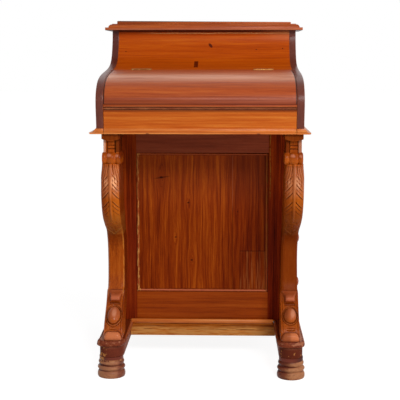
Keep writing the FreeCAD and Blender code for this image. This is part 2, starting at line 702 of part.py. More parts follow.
def pedestal_left():
    """The closed left side of the pedestal, framed and panelled like the front."""
    outer = -PEDESTAL_SIDE
    inner = outer + FRAME_THICK
    front = PEDESTAL_FRONT + FRAME_THICK
    back = PEDESTAL_BACK
    opening = (front + SIDE_STILE_WIDTH, back - SIDE_STILE_WIDTH)
    members = [
        board(outer, inner, front, opening[0], PLINTH_TOP, BODY_BOTTOM),
        board(outer, inner, opening[1], back, PLINTH_TOP, BODY_BOTTOM),
        board(outer, inner, opening[0], opening[1], OPENING_TOP, BODY_BOTTOM),
        board(outer, inner, opening[0], opening[1], PLINTH_TOP, OPENING_BOTTOM),
    ]
    panel, beading = framed_panel(opening, OPENING_BOTTOM, OPENING_TOP, outer,
                                  lambda across, depth, height: Vector(depth, across, height))
    return {
        "left_frame": group(members),
        "left_panel": panel,
        "left_beading": beading,
    }


def drawer_levels():
    """The underside of each drawer front, from the bottom up."""
    levels = []
    rail_top = PLINTH_TOP + DRAWER_BOTTOM_RAIL
    for height in DRAWER_HEIGHTS:
        levels.append(rail_top + DRAWER_GAP)
        rail_top += height + 2 * DRAWER_GAP + DRAWER_RAIL_HEIGHT
    return levels


def drawer_case():
    """The open right side of the pedestal: corner posts, rails, runners and the back."""
    face = PEDESTAL_SIDE
    inner = face - DRAWER_FRONT_THICK
    left_inner = -PEDESTAL_SIDE + FRAME_THICK
    front_frame_back = PEDESTAL_FRONT + FRAME_THICK
    back_inner = PEDESTAL_BACK - PEDESTAL_BACK_THICK
    posts = [
        board(inner, face, front_frame_back, DRAWER_BAY_FRONT, PLINTH_TOP, BODY_BOTTOM),
        board(inner, face, DRAWER_BAY_BACK, PEDESTAL_BACK, PLINTH_TOP, BODY_BOTTOM),
    ]
    rails = []
    runners = []
    under = PLINTH_TOP
    for level in drawer_levels():
        rail_top = level - DRAWER_GAP
        rails.append(board(inner, face, DRAWER_BAY_FRONT, DRAWER_BAY_BACK, under, rail_top))
        low = rail_top - DRAWER_RAIL_HEIGHT
        runners.append(board(left_inner, inner, front_frame_back,
                             DRAWER_BAY_FRONT + DRAWER_RUNNER_BEARING_WIDTH, low, rail_top))
        runners.append(board(left_inner, inner, DRAWER_BAY_BACK - DRAWER_RUNNER_BEARING_WIDTH,
                             back_inner, low, rail_top))
        under = rail_top + DRAWER_HEIGHTS[len(rails) - 1] + 2 * DRAWER_GAP
    rails.append(board(inner, face, DRAWER_BAY_FRONT, DRAWER_BAY_BACK, under, BODY_BOTTOM))
    back = board(left_inner, inner, back_inner, PEDESTAL_BACK, PLINTH_TOP, BODY_BOTTOM)
    return {
        "drawer_posts": group(posts),
        "drawer_rails": group(rails),
        "drawer_runners": group(runners),
        "pedestal_back": back,
    }


def knob(origin, axis, across, radius, length, stem_radius, head):
    """A turned mushroom knob that stands on a drawer front."""
    collar = (stem_radius + KNOB_FLARE, KNOB_FLARE)
    stem = (stem_radius, 2 * KNOB_FLARE)
    under = (stem_radius, length - head)
    rim = (radius, length - head / 2)
    crown = (KNOB_FACE_RADIUS, length)
    steps = [
        (0.0, 0.0),
        (collar[0], 0.0),
        collar,
        quarter_round(collar, stem, (collar[0], stem[1])),
        under,
        quarter_round(under, rim, (under[0], rim[1])),
        quarter_round(rim, crown, (crown[0], rim[1])),
        (0.0, length),
    ]
    return turned(steps, origin, axis, across)


def pedestal_drawers():
    """Four drawers that pull out to the right, each with a front, a box and two knobs."""
    face = PEDESTAL_SIDE
    inner = face - DRAWER_FRONT_THICK
    rear = face - DRAWER_DEPTH
    front = DRAWER_BAY_FRONT + DRAWER_GAP
    back = DRAWER_BAY_BACK - DRAWER_GAP
    nodes = {}
    for number, (level, height) in enumerate(zip(drawer_levels(), DRAWER_HEIGHTS), start=1):
        side_top = level + height - DRAWER_SIDE_DROP
        floor_top = level + DRAWER_BOTTOM_THICK
        left = front + DRAWER_SIDE_THICK
        right = back - DRAWER_SIDE_THICK
        box = [
            board(rear, inner, front, left, level, side_top),
            board(rear, inner, right, back, level, side_top),
            board(rear, rear + DRAWER_BACK_THICK, left, right, level, side_top),
            board(rear + DRAWER_BACK_THICK, inner, left, right, level, floor_top),
        ]
        knobs = []
        for side in (-1, 1):
            origin = Vector(face, DRAWER_BAY_MIDDLE + side * KNOB_SPACING / 2, level + height / 2)
            knobs.append(knob(origin, Vector(1, 0, 0), Vector(0, 1, 0),
                              KNOB_RADIUS, KNOB_LENGTH, KNOB_STEM_RADIUS, KNOB_HEAD))
        nodes["drawer_%d_front" % number] = board(inner, face, front, back, level, level + height)
        nodes["drawer_%d_box" % number] = group(box)
        nodes["drawer_%d_knobs" % number] = group(knobs)
    return nodes


def inner_drawer():
    """The small drawer between two pigeonholes at the back of the writing well."""
    half = INNER_DRAWER_BAY / 2 - DRAWER_GAP
    face = BELLY_Y + CASE_SETBACK
    inner = face + INNER_FRONT_THICK
    rear = face + INNER_DRAWER_DEPTH
    low = WELL_FLOOR_TOP + DRAWER_GAP / 2
    high = SHELF_BOTTOM - DRAWER_GAP
    side_high = high - INNER_SIDE_THICK
    box = [
        board(-half, -half + INNER_SIDE_THICK, inner, rear, low, side_high),
        board(half - INNER_SIDE_THICK, half, inner, rear, low, side_high),
        board(-half + INNER_SIDE_THICK, half - INNER_SIDE_THICK,
              rear - INNER_SIDE_THICK, rear, low, side_high),
        board(-half + INNER_SIDE_THICK, half - INNER_SIDE_THICK, inner, rear - INNER_SIDE_THICK,
              low, low + INNER_SIDE_THICK),
    ]
    return {
        "inner_drawer_front": board(-half, half, face, inner, low, high),
        "inner_drawer_box": group(box),
        "inner_drawer_knob": knob(Vector(0, face, (low + high) / 2), Vector(0, -1, 0), Vector(1, 0, 0),
                                  INNER_KNOB_RADIUS, INNER_KNOB_LENGTH, INNER_KNOB_STEM_RADIUS,
                                  INNER_KNOB_HEAD),
    }


def arm_plan(margin):
    """An arm's plan, round at the front and square at the back, with a margin all round
    but not behind."""
    radius = ARM_WIDTH / 2 + margin
    return closed_wire(lambda x, y: Vector(x, y, 0), [
        (ARM_MIDDLE + radius, ARM_BACK),
        (ARM_MIDDLE + radius, ARM_END_Y),
        (ARM_MIDDLE, ARM_END_Y - radius, ARM_MIDDLE - radius, ARM_END_Y),
        (ARM_MIDDLE - radius, ARM_BACK),
    ])


def plinth():
    """The plinth: an arm under each side that runs forward to the front foot, a rail
    across the front and the back, and the moulding along their tops."""
    arm = Part.Face(arm_plan(0)).extrude(Vector(0, 0, PLINTH_HEIGHT))
    arm.translate(Vector(0, 0, ARM_BOTTOM))
    collar = Part.Face(arm_plan(ARM_MOULD_OUT)).extrude(Vector(0, 0, ARM_MOULD_HEIGHT))
    rims = [e for e in collar.Edges
            if e.BoundBox.ZLength < ARM_MOULD_OUT and e.CenterOfMass.y < ARM_BACK - ARM_MOULD_OUT]
    collar = collar.makeFillet(ARM_MOULD_ROUND, rims)
    collar.translate(Vector(0, 0, PLINTH_TOP - ARM_MOULD_HEIGHT))
    collar = collar.cut(arm)
    inner = ARM_MIDDLE - ARM_WIDTH / 2
    low = ARM_BOTTOM + PLINTH_RAIL_LIFT
    front_face = PEDESTAL_FRONT - PLINTH_FRONT_REACH
    front_rail = board(-inner, inner, front_face, front_face + PLINTH_RAIL_THICK, low, PLINTH_TOP)
    back_rail = board(-inner, inner, ARM_BACK - PLINTH_RAIL_THICK, ARM_BACK, low, PLINTH_TOP)
    collar_inner = inner - ARM_MOULD_OUT
    foot = PLINTH_TOP - PLINTH_MOULD_HEIGHT
    crest = front_face - PLINTH_MOULD_OUT
    square = crest + PLINTH_MOULD_ROUND
    steps = [
        (front_face, foot),
        (square, foot),
        (crest, foot + PLINTH_MOULD_HEIGHT / 2, square, PLINTH_TOP),
        (front_face, PLINTH_TOP),
    ]
    strip_wire = closed_wire(lambda y, z: Vector(-collar_inner, y, z), steps)
    strip = Part.Face(strip_wire).extrude(Vector(2 * collar_inner, 0, 0))
    front_rail = front_rail.cut([collar, mirrored(collar)])
    back_rail = back_rail.cut([collar, mirrored(collar)])
    return {
        "arm_right": arm,
        "arm_left": mirrored(arm),
        "arm_mouldings": group([collar.Solids[0], mirrored(collar.Solids[0])]),
        "plinth_rails": group([front_rail.Solids[0], back_rail.Solids[0]]),
        "plinth_moulding": strip,
    }


def feet():
    """Four turned feet: a bun, a ring and a bead under the arm."""
    ring_low = FOOT_BUN_HEIGHT + FOOT_GROOVE
    ring_high = ring_low + FOOT_RING_HEIGHT - FOOT_GROOVE
    bead_low = ring_high + FOOT_GROOVE
    steps = [
        (0.0, 0.0),
        (FOOT_SOLE_RADIUS, 0.0),
        (FOOT_RADIUS, FOOT_BUN_BULGE, FOOT_WAIST_RADIUS + FOOT_GROOVE, FOOT_BUN_HEIGHT),
        (FOOT_WAIST_RADIUS + FOOT_GROOVE, ring_low),
        (FOOT_RING_RADIUS, (ring_low + ring_high) / 2, FOOT_WAIST_RADIUS, ring_high),
        (FOOT_WAIST_RADIUS, bead_low),
        (FOOT_BEAD_RADIUS, (bead_low + FOOT_HEIGHT) / 2, FOOT_WAIST_RADIUS, FOOT_HEIGHT),
        (0.0, FOOT_HEIGHT),
    ]
    nodes = {}
    for name, y in (("front_feet", ARM_END_Y), ("rear_feet", REAR_FOOT_Y)):
        foot = turned(steps, Vector(ARM_MIDDLE, y, 0), Vector(0, 0, 1), Vector(1, 0, 0))
        nodes[name] = group([foot, mirrored(foot)])
    return nodes


def bracket_leg(middle):
    """A carved bracket leg: a cap and neck under the body, a collar roll, a bold knee, a
    shaft that swings back, and a scrolled foot with a cabochon on the arm."""
    half = LEG_WIDTH / 2
    left = middle - half

    def leg_line(pulls):
        return pulled_line([Vector(left, BELLY_Y + setback, PLINTH_TOP + height)
                            for setback, height in pulls])

    front = leg_line(LEG_FRONT_PULLS)
    back = leg_line(LEG_BACK_PULLS)
    edges = [
        front.toShape(),
        Part.LineSegment(front.EndPoint, back.EndPoint).toShape(),
        back.toShape(),
        Part.LineSegment(back.StartPoint, front.StartPoint).toShape(),
    ]
    bracket = Part.Face(Part.Wire(edges)).extrude(Vector(LEG_WIDTH, 0, 0))
    cap_bottom = BODY_BOTTOM - LEG_CAP_HEIGHT
    cap_half = LEG_CAP_WIDTH / 2
    cap_front = BELLY_Y + LEG_CAP_SETBACK
    cap = board(middle - cap_half, middle + cap_half, cap_front, cap_front + LEG_CAP_DEPTH,
                cap_bottom, BODY_BOTTOM)
    neck_front = BELLY_Y + LEG_NECK_SETBACK
    neck = board(left, left + LEG_WIDTH, neck_front, neck_front + LEG_NECK_DEPTH,
                 bracket.BoundBox.ZMax - COLLAR_ROLL_RADIUS, cap_bottom)
    collar = rod_x(COLLAR_ROLL_RADIUS, middle - cap_half, middle + cap_half,
                   BELLY_Y + COLLAR_ROLL_SETBACK, BODY_BOTTOM - COLLAR_ROLL_DROP)
    collar = collar.fuse(board(middle - cap_half, middle + cap_half,
                               BELLY_Y + COLLAR_ROLL_SETBACK, neck_front + LEG_NECK_DEPTH,
                               BODY_BOTTOM - COLLAR_ROLL_DROP - COLLAR_ROLL_RADIUS,
                               BODY_BOTTOM - COLLAR_ROLL_DROP + COLLAR_ROLL_RADIUS))
    upper = rod_x(UPPER_SCROLL_RADIUS, left, left + LEG_WIDTH,
                  BELLY_Y + UPPER_SCROLL_SETBACK, PLINTH_TOP + UPPER_SCROLL_HEIGHT)
    lower = rod_x(LOWER_SCROLL_RADIUS, left, left + LEG_WIDTH,
                  BELLY_Y + LOWER_SCROLL_SETBACK, PLINTH_TOP + LOWER_SCROLL_HEIGHT)
    cabochon = Part.makeSphere(1.0)
    stretch = FreeCAD.Matrix()
    stretch.scale(*CABOCHON_HALF)
    cabochon = cabochon.transformGeometry(stretch)
    cabochon.translate(Vector(middle, BELLY_Y + CABOCHON_SETBACK, PLINTH_TOP + CABOCHON_HEIGHT))
    leg = bracket.fuse([cap, neck, collar, upper, lower, cabochon])
    return leg.removeSplitter().Solids[0]


def desk():
    """Every piece of the desk by its name."""
    nodes = {}
    nodes.update(body_boards())
    nodes.update(dividers())
    nodes.update(top_frame())
    nodes.update(side_mouldings())
    lid_nodes, cove_cut = lid_and_hinges()
    nodes.update(lid_nodes)
    nodes["cove_panel"] = nodes["cove_panel"].cut(cove_cut).Solids[0]
    nodes["hinge_rail"] = nodes["hinge_rail"].cut(cove_cut).Solids[0]
    nodes.update(flap_and_hinges())
    nodes.update(writing_slide())
    nodes.update(pedestal_front())
    nodes.update(pedestal_left())
    nodes.update(drawer_case())
    nodes.update(pedestal_drawers())
    nodes.update(inner_drawer())
    nodes.update(plinth())
    nodes.update(feet())
    nodes["front_leg_right"] = bracket_leg(LEG_SHIFT + LEG_SPACING / 2)
    nodes["front_leg_left"] = bracket_leg(LEG_SHIFT - LEG_SPACING / 2)
    return nodes


os.makedirs("parts", exist_ok=True)
for name, shape in desk().items():
    shape.exportStep("parts/%s.step" % name)
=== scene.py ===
import bpy
import numpy as np
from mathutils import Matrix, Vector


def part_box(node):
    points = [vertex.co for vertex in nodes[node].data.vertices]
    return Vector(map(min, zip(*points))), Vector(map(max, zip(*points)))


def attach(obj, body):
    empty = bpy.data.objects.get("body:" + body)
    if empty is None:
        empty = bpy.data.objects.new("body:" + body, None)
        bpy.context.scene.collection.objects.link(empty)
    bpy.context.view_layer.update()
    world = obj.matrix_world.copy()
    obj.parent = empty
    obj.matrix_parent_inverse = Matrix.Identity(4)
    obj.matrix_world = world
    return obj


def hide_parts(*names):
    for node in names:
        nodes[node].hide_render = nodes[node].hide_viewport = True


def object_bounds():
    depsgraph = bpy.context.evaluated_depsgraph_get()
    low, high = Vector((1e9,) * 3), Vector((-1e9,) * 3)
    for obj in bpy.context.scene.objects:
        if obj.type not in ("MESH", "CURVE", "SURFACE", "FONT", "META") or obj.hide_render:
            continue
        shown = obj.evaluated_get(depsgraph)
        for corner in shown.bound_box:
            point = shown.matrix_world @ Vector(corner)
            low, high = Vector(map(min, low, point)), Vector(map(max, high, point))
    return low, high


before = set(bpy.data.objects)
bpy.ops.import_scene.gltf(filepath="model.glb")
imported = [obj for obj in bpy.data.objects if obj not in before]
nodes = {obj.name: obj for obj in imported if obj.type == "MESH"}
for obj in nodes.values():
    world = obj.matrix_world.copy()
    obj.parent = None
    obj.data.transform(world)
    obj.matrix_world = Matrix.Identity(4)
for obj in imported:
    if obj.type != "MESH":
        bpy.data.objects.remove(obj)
cad_low, cad_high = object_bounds()


# ---- Turned feet ----
# Four mahogany turnings, each a bun, a ring and a bead, dowelled up into the plinth arms.
# The polish is rubbed off the front pair down to pale wood, most of all on the right one.
def deselect():
    bpy.ops.object.select_all(action="DESELECT")


def only(piece):
    """Selects one piece alone and makes it the active one."""
    deselect()
    piece.select_set(True)
    bpy.context.view_layer.objects.active = piece


def edit_all():
    """Goes into edit mode with everything selected."""
    bpy.ops.object.mode_set(mode="EDIT")
    bpy.ops.mesh.select_all(action="SELECT")


def leave_edit():
    bpy.ops.object.mode_set(mode="OBJECT")


def srgb(red, green, blue):
    """A colour of 0 to 255 as Blender's linear one."""
    shares = [value / 255 for value in (red, green, blue)]
    linear = [s / 12.92 if s < 0.04045 else ((s + 0.055) / 1.055) ** 2.4 for s in shares]
    return (*linear, 1)


def maths(operation):
    """A method that adds a Math node of one kind to a socket."""
    return lambda self, other=0: self.node("Math", {"operation": operation}, {0: self, 1: other})


class Signal:
    """A shader socket. Arithmetic on it adds Math nodes, and node() adds any other node."""

    def __init__(self, tree, socket=None):
        self.tree = tree
        self.socket = socket

    def node(self, kind, settings, inputs, output=0):
        made = self.tree.nodes.new("ShaderNode" + kind)
        for key, value in settings.items():
            if key == "stops":
                while len(made.color_ramp.elements) < len(value):
                    made.color_ramp.elements.new(0.5)
                for element, (position, colour) in zip(made.color_ramp.elements, value):
                    element.position = position
                    element.color = colour
            else:
                setattr(made, key, value)
        for key, value in inputs.items():
            if isinstance(value, Signal):
                self.tree.links.new(value.socket, made.inputs[key])
            else:
                made.inputs[key].default_value = value
        return Signal(self.tree, None if output is None else made.outputs[output])

    __add__ = __radd__ = maths("ADD")
    __sub__ = maths("SUBTRACT")
    __mul__ = __rmul__ = maths("MULTIPLY")
    __truediv__ = maths("DIVIDE")
    __pow__ = maths("POWER")
    __abs__ = maths("ABSOLUTE")
    most = maths("MAXIMUM")
    least = maths("MINIMUM")
    modulo = maths("MODULO")
    sign = maths("SIGN")

    def __rsub__(self, other):
        return self * -1 + other

    def rise(self, low, high):
        """0 below low, 1 above high and smooth between. It falls if low is the larger."""
        settings = {"interpolation_type": "SMOOTHSTEP"}
        return self.node("MapRange", settings, {"Value": self, "From Min": low, "From Max": high})

    def band(self, start, full, fading, gone):
        """1 from full to fading, falling smoothly to 0 at start and gone."""
        return self.rise(start, full) * self.rise(gone, fading)

    def blend(self, under, over, mode="MIX"):
        """Two colours mixed, with this socket as the share of the second."""
        under, over = [srgb(*tint) if isinstance(tint, tuple) and len(tint) == 3 else tint
                       for tint in (under, over)]
        settings = {"data_type": "RGBA", "blend_type": mode}
        return self.node("Mix", settings, {0: self, 6: under, 7: over}, 2)

    def parts(self):
        """The X, Y and Z of a vector."""
        return [self.node("SeparateXYZ", {}, {0: self}, axis) for axis in range(3)]

    def cloud(self, size, detail=2, seed=0, X=1, Y=1, Z=1):
        """Noise in blots about as wide as the size, in metres, and X, Y or Z times as long."""
        scale = [1 / (size * times) for times in (X, Y, Z)]
        shift = {"Vector": self, "Location": (seed, seed, seed), "Scale": scale}
        placed = self.node("Mapping", {}, shift)
        noise = {"Vector": placed, "Scale": 1, "Detail": detail, "Roughness": 0.6}
        return self.node("TexNoise", {}, noise)


def emptied(owner):
    """The shader tree of a material or world, emptied, as something to start from."""
    owner.use_nodes = True
    owner.node_tree.nodes.clear()
    return Signal(owner.node_tree)


def new_material(name):
    """An empty material and the Object coordinates that its patterns are laid out in."""
    material = bpy.data.materials.new(name)
    return material, emptied(material).node("TexCoord", {}, {}, "Object")


def timber(place, grain, dark, middle, light, ribbon=0.02, seed=0, contrast=1):
    """Mahogany's colour and its open grain. Ribbons, streaks and pores run along one axis."""
    dark, middle, light = srgb(*dark), srgb(*middle), srgb(*light)

    def along(run, width, detail, offset):
        return place.cloud(width, detail, seed + offset, **{grain: run / width})

    figure = along(0.5, ribbon, 3, 0)
    streak = along(0.16, 0.0035, 4, 3.1)
    fibre = along(0.04, 0.0009, 3, 5.7)
    pore = along(0.007, 0.0005, 1, 9.2).rise(0.6, 0.72)
    tone = (figure - 0.5) * (0.7 * contrast) + (streak - 0.5) * (0.9 * contrast) + 0.5
    tone += (fibre - 0.5) * (0.5 * contrast)
    stops = [(0.28, dark), (0.5, middle), (0.74, light)]
    colour = place.node("ValToRGB", {"stops": stops}, {"Fac": tone})
    colour = (pore * 0.45).blend(colour, dark)
    return colour, fibre * 0.4 - pore


def wood(name, grain, *tints, **figure):
    """A new material, its Object coordinates, and its timber's colour and relief."""
    material, place = new_material(name)
    return material, place, *timber(place, grain, *tints, **figure)


def finish(material, place, colour, height, *coats, rough=0.36, gloss=0.12, bump=0.00012,
           metallic=0, polish=0):
    """The material's surface from colour, relief and polish. Each coat is a mask and the
    colour that it lays over those before it."""
    for mask, *tint in coats:
        colour = mask.blend(colour, *tint)
    normal = place.node("Bump", {}, {"Strength": 0.5, "Distance": bump, "Height": height})
    surface = place.node("BsdfPrincipled", {}, {
        "Base Color": colour, "Roughness": rough, "Metallic": metallic, "Normal": normal,
        "Specular IOR Level": gloss, "Coat Weight": polish, "Coat Roughness": 0.22,
    })
    place.node("OutputMaterial", {}, {"Surface": surface}, None)
    return material


def bend(profile, pull, end, count=6):
    """Carries a profile on to an end point, in a curve drawn towards a pull point."""
    start = profile[-1]
    for i in range(1, count + 1):
        t = i / count
        profile.append(tuple((1 - t) ** 2 * a + 2 * t * (1 - t) * b + t * t * c
                             for a, b, c in zip(start, pull, end)))


def turned(name, start, axis, profile, sides=64):
    """A turning built up from a disc: each step of the profile is a radius and a distance."""
    deselect()
    turn = {"X": (0, np.pi / 2, 0), "Y": (np.pi / 2, 0, 0), "Z": (0, 0, 0)}[axis]
    index = "XYZ".index(axis)
    spot = list(start)
    radius, distance = profile[0]
    spot[index] = start[index] + distance
    bpy.ops.mesh.primitive_circle_add(vertices=sides, radius=radius, fill_type="NGON",
                                      location=spot, rotation=turn)
    piece = bpy.context.object
    piece.name = name
    bpy.ops.object.transform_apply()
    edit_all()
    for next_radius, next_distance in profile[1:]:
        step = [0, 0, 0]
        step[index] = next_distance - distance
        spot[index] += step[index]
        share = next_radius / radius
        grow = [share, share, share]
        grow[index] = 1
        bpy.ops.mesh.extrude_region_move(TRANSFORM_OT_translate={"value": step})
        bpy.ops.transform.resize(value=grow, center_override=spot)
        radius, distance = next_radius, next_distance
    bpy.ops.mesh.select_all(action="SELECT")
    bpy.ops.mesh.normals_make_consistent(inside=False)
    leave_edit()
    return piece


SHARP = np.radians(35)


def settle(piece, body, slot, material, *replaced):
    """Gives a finished piece its material, its shading and its place in the desk."""
    only(piece)
    bpy.ops.object.transform_apply()
    bpy.ops.object.shade_smooth_by_angle(angle=SHARP)
    piece.data.materials.clear()
    piece.data.materials.append(material)
    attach(piece, body)
    if replaced:
        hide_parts(*replaced)


def joined(name, pieces):
    """Several meshes made into one piece."""
    deselect()
    for piece in pieces:
        piece.select_set(True)
    bpy.context.view_layer.objects.active = pieces[0]
    bpy.ops.object.join()
    pieces[0].name = name
    return pieces[0]


FOOT_LOW, FOOT_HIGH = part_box("front_feet")
FOOT_HEIGHT = FOOT_HIGH.z
FOOT_RADIUS = 0.035
DRUM_RADIUS = 0.0304
FOOT_DRIFT = {"front_feet": (0.0012, 0.0024), "rear_feet": (0, 0)}
MAROON = (104, 46, 32)
DEEP_MAROON = (56, 20, 16)
RUBBED = (186, 122, 66)

foot_profile = [(0.0322, 0), (0.0338, 0.0008)]
bend(foot_profile, (0.0358, 0.005), (FOOT_RADIUS, 0.01))
bend(foot_profile, (0.0345, 0.015), (0.0315, 0.0175))
foot_profile += [(0.0308, 0.0181), (0.0308, 0.019)]
bend(foot_profile, (0.039, 0.0255), (0.0306, 0.0312), 8)
foot_profile += [(0.0297, 0.0317), (0.0296, 0.0328)]
bend(foot_profile, (0.0352, 0.0392), (0.03, 0.0442), 8)
foot_profile += [(DRUM_RADIUS - 0.0006, 0.0446), (DRUM_RADIUS, 0.0454), (DRUM_RADIUS, FOOT_HEIGHT)]

foot_wood, at, colour, grain = wood(
    "foot mahogany", "X", DEEP_MAROON, MAROON, (122, 58, 38), ribbon=0.012, seed=2)
across, deep, up = at.parts()
side = across.sign()
from_axis_x = across - side * (FOOT_HIGH.x - FOOT_RADIUS)
from_axis_y = deep - (FOOT_LOW.y + FOOT_RADIUS)
radius = (from_axis_x * from_axis_x + from_axis_y * from_axis_y) ** 0.5
crest = radius.rise(0.0298, 0.0322)
bare_side = (from_axis_x * side).rise(-0.02, 0) * (side * 0.06 + 0.16)
on_right = side * 0.5 + 0.5
intact = from_axis_x.rise(0, -0.022) * on_right + from_axis_x.rise(0.016, 0.024) * (1 - on_right)
ridges = abs(up - 0.0395).rise(0.003, 0.0008).most(abs(up - 0.0255).rise(0.003, 0.0008)) * 0.08
rubbed = at.cloud(0.014, 4, 1.3, Z=0.5) + at.cloud(0.003, 3, 4) * 0.16 + bare_side + ridges
rubbed = rubbed.rise(0.52, 0.82) * crest * (1 - intact * 0.8) * 0.85
rubbed_tint = at.cloud(0.006, 4, 8).blend((140, 84, 52), (194, 136, 94))
worn_tint = on_right.blend((164, 106, 76), (134, 78, 42))
kept_bead = up.rise(0.032, 0.035) * on_right * from_axis_x.rise(0.016, -0.01)
drum = up.rise(0.0442, 0.0448)
drum_tint = (from_axis_x * side).rise(0, 0.03).blend((108, 48, 34), (72, 32, 24))
flake = at.cloud(0.008, 4, 2).rise(0.48, 0.54) * side.rise(0, -0.5)
flake *= from_axis_x.rise(-0.012, -0.019) * up.rise(0.036, 0.039)
gold_rim = (up + (at.cloud(0.006, 3, 5) - 0.5) * 0.006 - 0.0436).rise(-0.0012, -0.0002)
gold_rim *= (up - 0.0462).rise(0.001, 0) * at.cloud(0.009, 3, 6).rise(0.42, 0.52) * (1 - on_right)
finish(
    foot_wood, at, colour, grain + rubbed * -2,
    (crest * (0.6 - side * 0.15) * (1 - intact * 0.7), worn_tint),
    (rubbed, rubbed_tint),
    (crest.rise(0.5, 0) * 0.4, (64, 20, 8)),
    (kept_bead * 0.65, (88, 34, 14)),
    (drum, drum_tint),
    (flake * 0.9, RUBBED),
    (gold_rim * 0.75, (184, 124, 80)),
    rough=rubbed * 0.2 + 0.34, gloss=0.12,
)

for name in ("front_feet", "rear_feet"):
    low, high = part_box(name)
    pair = []
    for x, shift in zip((low.x + FOOT_RADIUS, high.x - FOOT_RADIUS), FOOT_DRIFT[name]):
        foot_place = (x + shift, (low.y + high.y) / 2, 0)
        pair.append(turned("foot", foot_place, "Z", foot_profile))
    settle(joined(name + "_turned", pair), "carcass", "foot_mahogany", foot_wood, name)


# ---- Plinth ----
# Two arms carry the pedestal and run forward to the front feet, with a rail across the
# front and the back. An ovolo runs round the arms and along the front rail. All are
# mahogany boards, and the polish is worn from their edges and from the rounded fronts.
FLAT = np.radians(0.5)
WELDED = 0.00001


def rounding(piece, width, segments):
    """A modifier that rounds a piece's sharp edges."""
    edge = piece.modifiers.new("eased edges", "BEVEL")
    edge.limit_method = "ANGLE"
    edge.angle_limit = SHARP
    edge.width = width
    edge.segments = segments
    return edge


def eased(piece, width, segments=3):
    """Rounds a piece's sharp edges for good."""
    only(piece)
    bpy.ops.object.modifier_apply(modifier=rounding(piece, width, segments).name)
    return piece


def added(name, data):
    """An object put into the scene."""
    piece = bpy.data.objects.new(name, data)
    bpy.context.scene.collection.objects.link(piece)
    return piece


def refined(node, ease, segments=2):
    """A copy of a CAD piece with its points merged and its sharp edges eased."""
    piece = added(node + "_eased", nodes[node].data.copy())
    only(piece)
    bpy.ops.mesh.customdata_custom_splitnormals_clear()
    edit_all()
    bpy.ops.mesh.remove_doubles(threshold=WELDED)
    bpy.ops.mesh.dissolve_limited(angle_limit=FLAT)
    leave_edit()
    return eased(piece, ease, segments)


def kept(material, *names, ease=0):
    """CAD pieces whose shape is right: they get a material and softly eased edges."""
    for name in names:
        piece = nodes[name]
        for part in piece.material_slots:
            part.material = material
        if ease:
            piece.modifiers.new("one skin", "WELD").merge_threshold = WELDED
            rounding(piece, ease, 2).harden_normals = True


arm_wood, at, colour, grain = wood(
    "plinth arm mahogany", "Y", (74, 26, 14), (122, 52, 24), (160, 82, 36), seed=4)
across, deep, up = at.parts()
front_end = deep.rise(-0.235, -0.262)
arm_side = (abs(across) - 0.227).rise(-0.004, 0.022)
# The arm tops are maroon on the inner side and turn pale pink towards the outer side, a painted sheen.
top_tone_and_sheen = arm_side.blend((96, 32, 8), (172, 112, 84))
chips = at.cloud(0.011, 6, 12) + at.cloud(0.0022, 2, 3) * 0.12
chips = (chips + across.rise(-0.225, -0.255) * 0.09).rise(0.67, 0.7)
chips *= front_end * up.rise(0.083, 0.079)
finish(
    arm_wood, at, colour, grain - chips * 3,
    (front_end * 0.85, MAROON),
    (across.rise(-0.232, -0.255) * 0.45, (66, 30, 24)),
    (across.rise(0.1, 0.2) * front_end * 0.45, (72, 24, 8)),
    (up.rise(0.0968, 0.0978) * 0.85, top_tone_and_sheen),
    (up.band(0.074, 0.083, 0.096, 0.0968) * front_end * 0.35, (146, 92, 68)),
    (chips, RUBBED),
    rough=0.45 + chips * 0.2, gloss=0.03,
)

ARM_DRIFT = {"left": (0, 0.0042), "right": (0.0018, 0.0012)}
DRIFT_FROM = 0.012
DRIFT_RUN = 0.02
DRUM_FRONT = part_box("arm_left")[0].y
ARM_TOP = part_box("arm_left")[1].z
ARM_MIDDLE = 0.227
ARM_HALF = 0.03
ROUND_CENTRE = DRUM_FRONT + ARM_HALF
MOULDING_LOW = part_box("arm_mouldings")[0].z
MOULDING_SAG = 0.0016
NARROWING = 0.4
SQUARENESS = 0.6


def drift(piece):
    """The arms don't run quite square to the front: behind the drums they lie further right."""
    for vertex in piece.data.vertices:
        at_front, behind = ARM_DRIFT["left"] if vertex.co.x < 0 else ARM_DRIFT["right"]
        share = min(max((vertex.co.y - DRUM_FRONT - DRIFT_FROM) / DRIFT_RUN, 0), 1)
        vertex.co.x += at_front + (behind - at_front) * share
    return piece


def squared(piece):
    """The moulding turns the end of an arm more squarely than the round front under it."""
    for vertex in piece.data.vertices:
        side = np.sign(vertex.co.x)
        x = vertex.co.x - side * ARM_MIDDLE
        y = min(vertex.co.y - ROUND_CENTRE, 0)
        proud = np.hypot(x, y) - ARM_HALF
        if proud > 0.0005:
            square = np.hypot(x, y) / (x ** 4 + y ** 4) ** 0.25
            height = (vertex.co.z - MOULDING_LOW) / (ARM_TOP - MOULDING_LOW)
            narrowed = ARM_HALF + proud * (1 - NARROWING * height ** 1.5)
            reach = narrowed / (ARM_HALF + proud) * square ** SQUARENESS
            vertex.co.x = side * ARM_MIDDLE + x * reach
            vertex.co.y += y * (reach - 1)
            vertex.co.z -= MOULDING_SAG * (1 - height)
    return piece


for name in ("arm_left", "arm_right"):
    settle(drift(refined(name, 0.0015)), "carcass", "plinth_mahogany", arm_wood, name)

